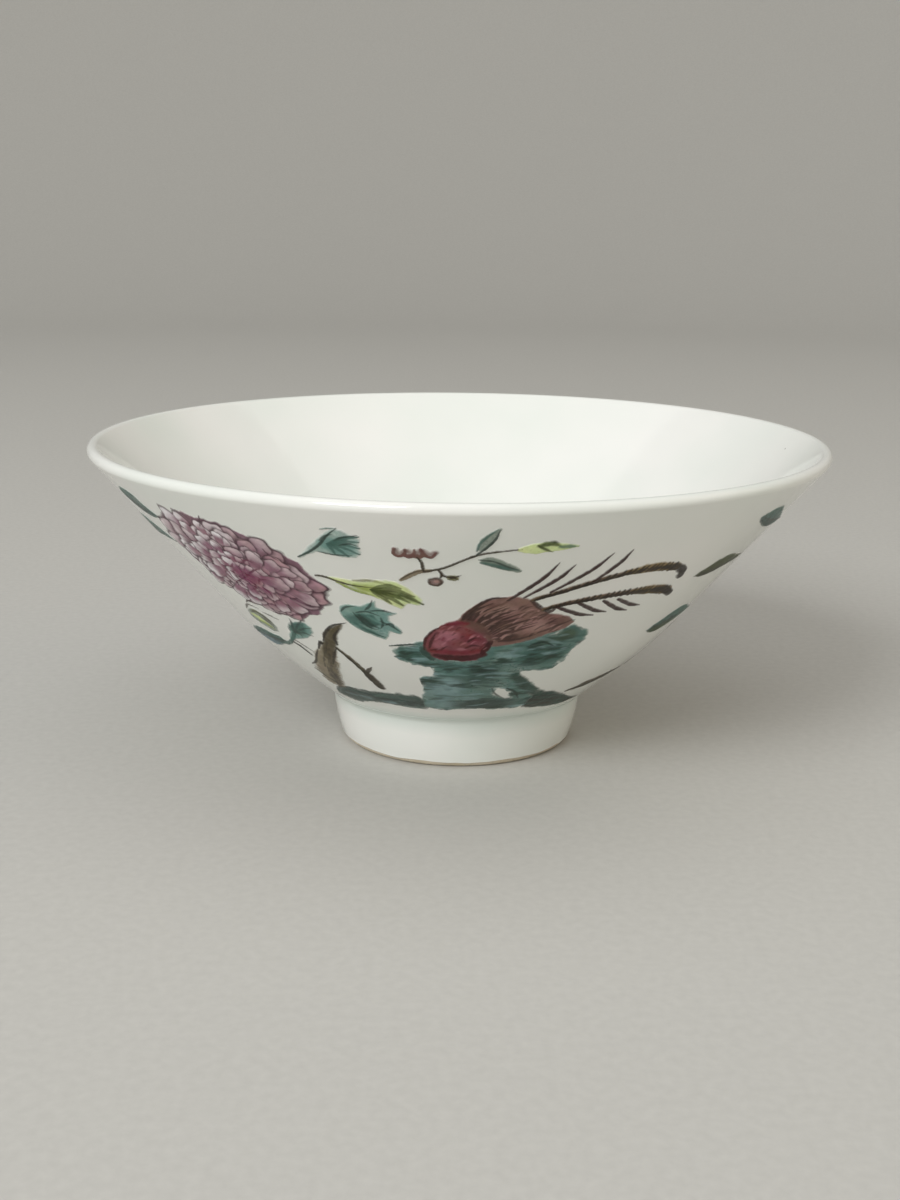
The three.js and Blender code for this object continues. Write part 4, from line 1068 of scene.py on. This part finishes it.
def paint_tail():
    """Two long barred feathers and the thin plumes beside them."""
    sheets = []
    for name, bars, middle, hook in (
        ("tail_feather_upper", 24,
         ((13, 32.6), (17, 33.8), (22, 35.4), (28, 36.8), (33, 37.2), (38, 36.6)),
         ((33.5, 37.1), (38, 36.6), (40.5, 35.6), (41.3, 34.2))),
        ("tail_feather_lower", 26,
         ((15.4, 30.4), (20, 31.4), (26, 32.1), (32, 32.4), (37, 32.1), (41, 31.3)),
         ((36, 32.2), (39.5, 31.8), (41.3, 31.1), (42.6, 30.4))),
    ):
        feather = Sheet(name, margin=1.3)
        feather.brush(FEATHER_BROWN, 1, *middle[:4], soft=0.15, start=0.8, end=1.0)
        feather.brush(FEATHER, 1.7, *middle[3:], strength=0.9, soft=0.2, start=0.6, end=0.9)
        shaft = smooth_line(feather.spots(middle), 60)
        for k in range(bars):
            spot = shaft[int(2 + 55 * k / (bars - 1))]
            half = np.array([0.3, 0.44]) * (0.9 + 0.8 * k / bars)
            feather.stroke([spot - half, spot + (0.08, 0), spot + half], 0.5, FEATHER_DARK, 0.95,
                           start=0.7, end=0.6)
        feather.stroke(shaft[::10] - (0, 0.35), 0.3, FEATHER_DARK, 0.7, end=0.6)
        feather.brush(FEATHER_DARK, 0.3, *middle, strength=0.75)
        feather.brush(FEATHER_DARK, 1.3, *hook, strength=0.95, soft=0.2, start=0.3, end=1.0)
        feather.patch(FEATHER_DARK, hook[2], (1.3, 0.9), 0.97, 540 + bars)
        sheets.append(feather)
    for k, growth in enumerate((55, 55, 50, 60, -20, -25, -35, -30)):
        plume = Sheet(f"tail_plume_{k + 1}", margin=1.5)
        base, tip = plume.far_corner(growth + 180), plume.far_corner(growth)
        bow = 0.08 * np.array([tip[1] - base[1], base[0] - tip[0]])
        root = base - 0.4 * (tip - base)
        plume.stroke([root, 0.5 * (base + tip) + bow, tip + 0.06 * (tip - base)], 0.64, PLUMAGE_DARK,
                     0.97, 0.6, 0.25)
        sheets.append(plume)
    return sheets


# ---- The sprig ----


def paint_sprig():
    """The sprig over the bird: stem, flower, berry, bud and three leaves."""
    stem = Sheet("sprig_stem", margin=1.9)
    stem.brush(BARK, 0.8, (-8.9, 36.5), (-7.4, 37.5), (-5.8, 38.4), (-4.2, 38.6), end=0.7, soft=0.12)
    stem.brush(BARK_DARK, 0.3, (-8.9, 36.7), (-7.4, 37.8), (-5.8, 38.6), (-3.6, 38.8), strength=0.6)
    stem.brush(BARK_DARK, 0.42, (-5, 38.5), (-2.4, 39.1), (0.4, 40.6), (2.6, 41.8), (5.2, 42.4),
               (8.8, 42.9), strength=0.8, start=0.9, end=0.6)
    stem.brush(BARK_DARK, 0.34, (-3.1, 39), (-2.5, 38.2), (-2.5, 37.5), (-3, 37))
    stem.brush(BARK_DARK, 0.34, (-2.5, 38), (-1.8, 37.5), (-0.6, 37.6), strength=0.8, end=0.8)
    flower = Sheet("sprig_flower", margin=1.2)
    flower.lines(RUSSET, 0.9, (
        ((-8.8, 42.6), (-8.4, 41.6), (-7.4, 42.4)), ((-7, 42.4), (-6.2, 41.5), (-5.2, 42.6)),
        ((-4.8, 42.4), (-4, 41.7), (-3.2, 42.2)),
    ), strength=0.55, soft=0.3, start=0.8, end=0.8)
    flower.lines(RUSSET, 0.5, (
        ((-8.9, 42.8), (-9.1, 41.8), (-8.3, 41.3), (-7.5, 41.9), (-7.4, 42.7)),
        ((-7.9, 41.6), (-6.9, 41.2), (-6.2, 41.9), (-6.1, 42.7)),
        ((-6.6, 41.4), (-5.4, 41.2), (-5, 42), (-5.2, 42.8)),
        ((-5.2, 42.8), (-4.6, 41.6), (-3.7, 41.3), (-3.1, 42.2)),
        ((-8.6, 41.3), (-6.4, 41.6), (-4.4, 41.4)),
    ), start=0.8, end=0.6)
    flower.brush(BARK_DARK, 0.4, (-5.8, 41.3), (-5.3, 40.2), (-5.2, 39.2), (-5.1, 38.5), end=0.8)
    berry = Sheet("sprig_berry")
    berry.wash(RUSSET, 0.7, 700, softness=0.3, grow=0.1)
    berry.edge_line(BARK_DARK, 0.8, 701, offset=0.2, width=0.2, broken=1.0)
    berry.patch(PLUMAGE_ROSE, (-3.3, 36.5), (0.4, 0.4), 0.8, 702)
    bud = Sheet("sprig_bud", margin=0.8)
    bud.wash(OLIVE, 0.75, 710, softness=0.35, grow=0.15)
    for tip in ((0.5, 37.8), (0.2, 36.8), (-1.5, 36.9)):
        bud.brush(BARK_DARK, 0.36, (-1.5, 37.5), (-0.7, 37.4), tip, strength=0.8)
    upper = Sheet("sprig_leaf_upper")
    upper.wash(SAGE, 0.8, 270, softness=0.4, grow=0.2)
    upper.brush(LEAF_LINE, 0.4, (2.6, 41.9), (4, 43.4), (5, 45), (5.4, 46.6), strength=0.75)
    upper.brush(TEAL_DEEP, 0.4, (2.6, 42.6), (3, 44.2), (4.2, 45.8), (5.2, 46.8), strength=0.65)
    lower = Sheet("sprig_leaf_lower")
    lower.wash(SAGE, 0.85, 280, softness=0.4, grow=0.2)
    lower.brush(TEAL_DEEP, 0.7, (3.4, 40.4), (5.4, 39.8), (7.2, 39.2), (9, 38.8), strength=0.75,
                soft=0.2)
    lower.brush(LEAF_LINE, 0.34, (3, 40.9), (5.2, 40.6), (7.4, 39.5), (9.2, 38.8), strength=0.75)
    tip = Sheet("sprig_leaf_tip")
    tip.wash(LIME, 0.85, 290, softness=0.4, grow=0.2)
    tip.brush(OLIVE_DARK, 0.9, (11.2, 43.5), (12.8, 43.9), (14.2, 43.4), strength=0.8, soft=0.25)
    tip.brush(OLIVE_DARK, 0.45, (11, 43.6), (12.2, 42.8), (13.4, 42.2), strength=0.9)
    tip.brush(TEAL_DEEP, 0.7, (14.2, 43.2), (15.4, 43.2), (16.9, 43.1), strength=0.7, soft=0.2)
    return [stem, flower, berry, bud, upper, lower, tip]


# ---- The far side ----


def paint_branch():
    """The branch on the far side, its leaves, and the two leaves left of the peony."""
    stem = Sheet("branch_stem", margin=1.2)
    stem.wash(BARK_OLIVE, 0.85, 440, softness=0.3, grow=0.15)
    stem.edge_line(BARK_LINE, 0.8, 441, width=0.16, broken=0.8)
    looks = (
        (172, TEAL_DEEP, LEAF_LINE, 1), (190, OLIVE_DARK, BARK_LINE, 1),
        (190, TEAL_DEEP, OLIVE_DARK, 1), (5, TEAL, TEAL_DEEP, -1), (25, TEAL, TEAL_DEEP, -1),
    )
    leaves = [
        paint_leaf(f"branch_leaf_{k + 1}", growth, wash, deep, BARK_LINE, 330 + 11 * k, 4, 0.94, shadow)
        for k, (growth, wash, deep, shadow) in enumerate(looks)
    ]
    sides = [
        paint_leaf(name, growth, TEAL_DEEP, LEAF_LINE, LEAF_LINE, seed, 4, 0.9, 1)
        for name, growth, seed in (("side_leaf_upper", 150, 300), ("side_leaf_lower", 165, 311))
    ]
    return [stem] + leaves + sides


def paint_butterfly():
    """The butterfly behind: four veined wings, a dark body and two feelers."""
    body = Sheet("butterfly_body", margin=2.4)
    body.wash(BARK_DARK, 0.9, 770, softness=0.2, grow=0.1)
    head = body.far_corner(60)
    for lean in (40, 75):
        heading = np.array([math.cos(lean * DEGREE), math.sin(lean * DEGREE)])
        body.stroke([head, head + 1.0 * heading, head + 2.0 * heading + (0.35, 0)], 0.16, BARK_DARK,
                    0.85, end=0.9)
    wings = []
    for k, growth in enumerate((80, 0, 170, -100)):
        wing = Sheet(f"butterfly_wing_{k + 1}", margin=1.5)
        root = wing.spots((body.azimuth_mid, body.slant_mid))
        wing.stroke([root, 0.4 * root, 0.0 * root], 1.1, WING, 0.85, start=0.5, soft=0.25)
        wing.wash(WING, 0.85, 720 + k, softness=0.3, cloud=1.4, depth=0.3)
        tip = wing.far_corner(growth)
        wing.patch(WING_DARK, (wing.azimuth_mid, wing.slant_mid), (0.9, 0.7), 0.4, 740 + k)
        wing.edge_line(WING_DARK, 0.85, 730 + k, offset=0.12, width=0.18, broken=1.0)
        side = np.array([root[1] - tip[1], tip[0] - root[0]])
        for fan in np.linspace(-0.25, 0.25, 5):
            wing.stroke([root, 0.5 * (root + tip) + 0.7 * fan * side, tip + fan * side], 0.18, WING_DARK,
                        0.7)
        wings.append(wing)
    return wings + [body]


def paint_all(material):
    """Paints and builds every enamel node, from the bottom coat to the top one."""
    for painter in (
        paint_ground, paint_rock, paint_body, paint_breast, paint_tail, paint_trunk, paint_peony,
        paint_lower_leaves, paint_top_leaf, paint_low_leaf, paint_lime_leaf, paint_sprig,
        paint_branch, paint_back_bloom, paint_butterfly,
    ):
        for sheet in painter():
            sheet.build(material)


# ---- Materials ----


class Nodes:
    """Adds shader nodes to one material. An input is given by name, as a value or another node's output."""

    def __init__(self, name):
        self.material = bpy.data.materials.new(name)
        self.material.use_nodes = True
        self.tree = self.material.node_tree
        self.tree.nodes.clear()

    def add(self, kind, inputs=None, **settings):
        made = self.tree.nodes.new(kind)
        for key, value in settings.items():
            setattr(made, key, value)
        for key, value in (inputs or {}).items():
            if isinstance(value, bpy.types.NodeSocket):
                self.tree.links.new(value, made.inputs[key])
            else:
                made.inputs[key].default_value = value
        return made

    def noise(self, place, wavelength_mm, detail=2.0, roughness=0.5):
        made = self.add("ShaderNodeTexNoise", {
            "Vector": place, "Scale": 1.0 / (wavelength_mm * MM), "Detail": detail,
            "Roughness": roughness,
        })
        return made.outputs["Fac"]

    def remap(self, value, from_low, from_high, to_low, to_high):
        made = self.add("ShaderNodeMapRange", {
            "Value": value, "From Min": from_low, "From Max": from_high,
            "To Min": to_low, "To Max": to_high,
        })
        return made.outputs["Result"]

    def mix(self, share, first, second):
        made = self.add("ShaderNodeMix", {}, data_type="RGBA")
        for key, value in (("Factor", share), ("A", first), ("B", second)):
            socket = next(s for s in made.inputs if s.name == key and (key == "Factor" or s.type == "RGBA"))
            if isinstance(value, bpy.types.NodeSocket):
                self.tree.links.new(value, socket)
            else:
                socket.default_value = value
        return next(s for s in made.outputs if s.type == "RGBA")

    def math(self, operation, first, second):
        made = self.add("ShaderNodeMath", {0: first, 1: second}, operation=operation)
        return made.outputs["Value"]

    def surface(self, inputs):
        shader = self.add("ShaderNodeBsdfPrincipled", inputs)
        self.add("ShaderNodeOutputMaterial", {"Surface": shader.outputs["BSDF"]})
        return self.material


def rgba(colour):
    """A colour with full alpha, for a shader socket."""
    return (float(colour[0]), float(colour[1]), float(colour[2]), 1.0)


PORCELAIN_WHITE = rgba(linear("f1f0ec"))
PORCELAIN_COOL = rgba(linear("e8ebe5"))
GLAZE_POOL = rgba(linear("d4dfd8"))
IRON_SPECK = rgba(linear("574a3d"))
BISCUIT_PALE = rgba(linear("ddd3c0"))
BISCUIT_STAIN = rgba(linear("cbbfa8"))
BISCUIT_GRIT = rgba(linear("8a7a64"))
BISCUIT_FLASH = rgba(linear("b99a74"))
PAPER = rgba(linear("c2c0bb"))
PAPER_PALE = rgba(linear("c8c6c1"))

# Noise wavelengths and the reach of the pooled glaze, in millimetres
CLOUD_SIZE = 22.0
SHEEN_SIZE = 3.5
PEEL_SIZE = 2.4
SWELL_SIZE = 9.0
POOL_EDGE_SIZE = 6.0
POOL_DEPTH = 2.6
POOL_FADE = (0.1, 1.8)
SPECK_SPACING = 5.5
GRAIN_SIZE = 0.45
SHADE_SIZE = 1.1
HUE_SIZE = 2.6
GRIT_SIZE = 0.5
STAIN_SIZE = 5.0
TOOTH_SIZE = 1.2

SPECK_EDGE = (0.016, 0.034)
SPECK_PICK = (0.66, 0.70)
GLAZE_IOR = 1.52
GLAZE_RELIEF = 0.035 * MM
GLAZE_BUMP = 0.6
GLAZE_SHINE = 0.5
ENAMEL_SHINE = 0.2


def glaze_look(nodes):
    """Colour, roughness and height of the clear glaze over white porcelain, the same on every piece."""
    place = nodes.add("ShaderNodeTexCoord").outputs["Object"]
    clouds = nodes.remap(nodes.noise(place, CLOUD_SIZE), 0.3, 0.7, 0.0, 1.0)
    colour = nodes.mix(clouds, PORCELAIN_WHITE, PORCELAIN_COOL)
    height = nodes.add("ShaderNodeSeparateXYZ", {"Vector": place}).outputs["Z"]
    height_mm = nodes.math("DIVIDE", height, MM)
    wander = nodes.remap(nodes.noise(place, POOL_EDGE_SIZE), 0.0, 1.0, -0.8, 0.8)
    uneven = nodes.math("ADD", height_mm, wander)
    below = nodes.remap(uneven, FOOT_HEIGHT - POOL_DEPTH, FOOT_HEIGHT, 0.0, 1.0)
    above = nodes.remap(uneven, FOOT_HEIGHT + POOL_FADE[0], FOOT_HEIGHT + POOL_FADE[1], 1.0, 0.0)
    pooled = nodes.math("MULTIPLY", nodes.math("MULTIPLY", below, above), 0.75)
    colour = nodes.mix(pooled, colour, GLAZE_POOL)
    spots = nodes.add("ShaderNodeTexVoronoi", {"Vector": place, "Scale": 1.0 / (SPECK_SPACING * MM)})
    close = nodes.remap(spots.outputs["Distance"], *SPECK_EDGE, 1.0, 0.0)
    pick = nodes.add("ShaderNodeSeparateColor", {"Color": spots.outputs["Color"]}).outputs["Red"]
    chosen = nodes.remap(pick, *SPECK_PICK, 0.0, 0.8)
    colour = nodes.mix(nodes.math("MULTIPLY", close, chosen), colour, IRON_SPECK)
    roughness = nodes.remap(nodes.noise(place, SHEEN_SIZE), 0.3, 0.7, 0.05, 0.11)
    peel = nodes.remap(nodes.noise(place, PEEL_SIZE), 0.0, 1.0, 0.0, 0.35)
    swell = nodes.noise(place, SWELL_SIZE, 1.0)
    return place, colour, roughness, nodes.math("ADD", peel, swell)


def glaze_bump(nodes, height):
    """The normal of a surface whose fine relief is the given height, from 0 to 1."""
    bump = nodes.add("ShaderNodeBump", {
        "Height": height, "Distance": GLAZE_RELIEF, "Strength": GLAZE_BUMP,
    })
    return bump.outputs["Normal"]


def porcelain_material():
    """Clear, slightly uneven glaze over white porcelain."""
    nodes = Nodes("glazed_porcelain")
    _, colour, roughness, height = glaze_look(nodes)
    normal = glaze_bump(nodes, height)
    return nodes.surface({"Base Color": colour, "Roughness": roughness, "Normal": normal,
                          "IOR": GLAZE_IOR})


def enamel_material():
    """Glassy enamel over the glaze: colour and cover come from each skin's own paint."""
    nodes = Nodes("overglaze_enamel")
    place, glaze_colour, glaze_rough, glaze_height = glaze_look(nodes)
    paint = nodes.add("ShaderNodeAttribute", attribute_name="paint", attribute_type="GEOMETRY")
    cover = paint.outputs["Alpha"]
    grain = nodes.remap(nodes.noise(place, GRAIN_SIZE, 4.0, 0.65), 0.25, 0.75, 0.0, 1.0)
    value = nodes.remap(nodes.noise(place, SHADE_SIZE, 3.0), 0.25, 0.75, 0.82, 1.18)
    hue = nodes.remap(nodes.noise(place, HUE_SIZE), 0.3, 0.7, 0.488, 0.512)
    shade = nodes.add("ShaderNodeHueSaturation", {
        "Color": paint.outputs["Color"], "Value": value, "Hue": hue,
    })
    bare = nodes.math("POWER", nodes.math("SUBTRACT", 1.0, cover), nodes.remap(grain, 0.0, 1.0, 2.4, 1.2))
    share = nodes.math("SUBTRACT", 1.0, bare)
    colour = nodes.mix(share, glaze_colour, shade.outputs["Color"])
    enamel_rough = nodes.remap(grain, 0.0, 1.0, 0.26, 0.44)
    rough_gap = nodes.math("MULTIPLY", nodes.math("SUBTRACT", enamel_rough, glaze_rough), cover)
    roughness = nodes.math("ADD", glaze_rough, rough_gap)
    pits = nodes.math("MULTIPLY", nodes.remap(grain, 0.0, 1.0, 0.0, 0.5), cover)
    height = nodes.math("ADD", glaze_height, pits)
    normal = glaze_bump(nodes, height)
    dulled = nodes.math("MULTIPLY", cover, GLAZE_SHINE - ENAMEL_SHINE)
    shine = nodes.math("SUBTRACT", GLAZE_SHINE, dulled)
    return nodes.surface({
        "Base Color": colour, "Roughness": roughness, "Normal": normal,
        "Specular IOR Level": shine, "IOR": GLAZE_IOR,
    })


def biscuit_material():
    """Dry, gritty, faintly stained porcelain with a warmer flash by the glaze."""
    nodes = Nodes("bare_porcelain")
    place = nodes.add("ShaderNodeTexCoord").outputs["Object"]
    grit = nodes.noise(place, GRIT_SIZE, 5.0, 0.7)
    stain = nodes.remap(nodes.noise(place, STAIN_SIZE, 3.0), 0.35, 0.65, 0.0, 1.0)
    colour = nodes.mix(stain, BISCUIT_PALE, BISCUIT_STAIN)
    colour = nodes.mix(nodes.remap(grit, 0.56, 0.72, 0.0, 0.6), colour, BISCUIT_GRIT)
    height = nodes.add("ShaderNodeSeparateXYZ", {"Vector": place}).outputs["Z"]
    near_glaze = nodes.remap(height, 0.45 * MM, 0.95 * MM, 0.0, 0.3)
    colour = nodes.mix(near_glaze, colour, BISCUIT_FLASH)
    bump = nodes.add("ShaderNodeBump", {"Height": grit, "Distance": 0.08 * MM, "Strength": 0.8})
    roughness = nodes.remap(grit, 0.3, 0.7, 0.7, 0.92)
    return nodes.surface({"Base Color": colour, "Roughness": roughness, "Normal": bump.outputs["Normal"]})


# ---- The studio ----

STAGE_RADIUS = 1.25
STAGE_TOP = 1.3
SWEEP_RADIUS = 0.5
STAGE_SIDES = 72
AIR_COLOUR = (0.86, 0.88, 0.9, 1.0)
AIR_STRENGTH = 0.17


def make_stage():
    """A round pale floor that sweeps up into a wall all the way round."""
    turn = np.linspace(-90.0, 0.0, 20) * DEGREE
    reach = STAGE_RADIUS - SWEEP_RADIUS + SWEEP_RADIUS * np.cos(turn)
    rise = SWEEP_RADIUS + SWEEP_RADIUS * np.sin(turn)
    section = list(zip(reach, rise)) + [(STAGE_RADIUS, STAGE_TOP)]
    around = np.arange(STAGE_SIDES) * 2.0 * math.pi / STAGE_SIDES
    points = [(r * math.cos(a), r * math.sin(a), z) for r, z in section for a in around]
    index = np.arange(len(points)).reshape(len(section), STAGE_SIDES)
    following = np.roll(index, -1, axis=1)
    faces = np.stack([index[:-1], index[1:], following[1:], following[:-1]], -1).reshape(-1, 4).tolist()
    faces.append(index[0].tolist())
    mesh = bpy.data.meshes.new("studio_floor")
    mesh.from_pydata(points, [], faces)
    mesh.shade_smooth()
    nodes = Nodes("studio_paper")
    place = nodes.add("ShaderNodeTexCoord").outputs["Object"]
    tooth = nodes.noise(place, TOOTH_SIZE, 4.0)
    colour = nodes.mix(nodes.remap(tooth, 0.3, 0.7, 0.0, 1.0), PAPER, PAPER_PALE)
    mesh.materials.append(nodes.surface({"Base Color": colour, "Roughness": 0.75}))
    floor = bpy.data.objects.new("studio_floor", mesh)
    bpy.context.scene.collection.objects.link(floor)


def area_light(name, place, size, power, colour):
    """A rectangular light that faces the middle of the bowl."""
    lamp = bpy.data.lights.new(name, "AREA")
    lamp.shape = "RECTANGLE"
    lamp.size, lamp.size_y = size
    lamp.energy = power
    lamp.color = colour
    made = bpy.data.objects.new(name, lamp)
    bpy.context.scene.collection.objects.link(made)
    made.location = place
    bowl_middle = Vector((0.0, 0.0, 0.5 * BOWL_HEIGHT * MM))
    made.rotation_euler = (bowl_middle - Vector(place)).to_track_quat("-Z", "Y").to_euler()


# Each light's name, place in metres, size in metres, power in watts and colour
LIGHTS = (
    ("key_window", (-0.50, -0.82, 0.70), (0.45, 0.45), 8.4, (0.97, 0.99, 1.0)),
    ("top_soft", (0.0, -0.05, 1.4), (2.0, 1.7), 7.4, (1.0, 1.0, 0.98)),
    ("warm_side", (0.85, -0.20, 0.45), (0.9, 0.9), 1.7, (1.0, 0.89, 0.72)),
)


def make_lights():
    for light in LIGHTS:
        area_light(*light)
    world = bpy.data.worlds.new("studio_air")
    world.use_nodes = True
    backing = world.node_tree.nodes["Background"]
    backing.inputs["Color"].default_value = AIR_COLOUR
    backing.inputs["Strength"].default_value = AIR_STRENGTH
    bpy.context.scene.world = world


# The camera: place and sensor in millimetres
CAMERA_PLACE = (0.0, -227.1, 78.0)
CAMERA_PITCH = 14.317 * DEGREE
CAMERA_YAW = -0.281 * DEGREE
CAMERA_ROLL = 0.625 * DEGREE
LENS = 47.52
SENSOR = 36.0
NEAR_CLIP = 0.01


def make_camera():
    lens = bpy.data.cameras.new("camera")
    lens.lens = LENS
    lens.sensor_width = SENSOR
    lens.clip_start = NEAR_CLIP
    camera = bpy.data.objects.new("camera", lens)
    bpy.context.scene.collection.objects.link(camera)
    flat = math.cos(CAMERA_PITCH)
    ahead = Vector((math.sin(CAMERA_YAW) * flat, math.cos(CAMERA_YAW) * flat, -math.sin(CAMERA_PITCH)))
    level = Vector((math.cos(CAMERA_YAW), -math.sin(CAMERA_YAW), 0.0))
    above = level.cross(ahead)
    right = math.cos(CAMERA_ROLL) * level + math.sin(CAMERA_ROLL) * above
    up = math.cos(CAMERA_ROLL) * above - math.sin(CAMERA_ROLL) * level
    turn = Matrix((right, up, -ahead)).transposed().to_4x4()
    camera.matrix_world = Matrix.Translation(Vector(CAMERA_PLACE) * MM) @ turn
    bpy.context.scene.camera = camera


# ---- Everything together ----

make_camera()
make_stage()
make_lights()
bpy.context.scene.view_settings.view_transform = "Standard"

porcelain = porcelain_material()
make_bowl_wall(porcelain)
make_foot_ring(porcelain)
make_foot_rim(biscuit_material())
paint_all(enamel_material())
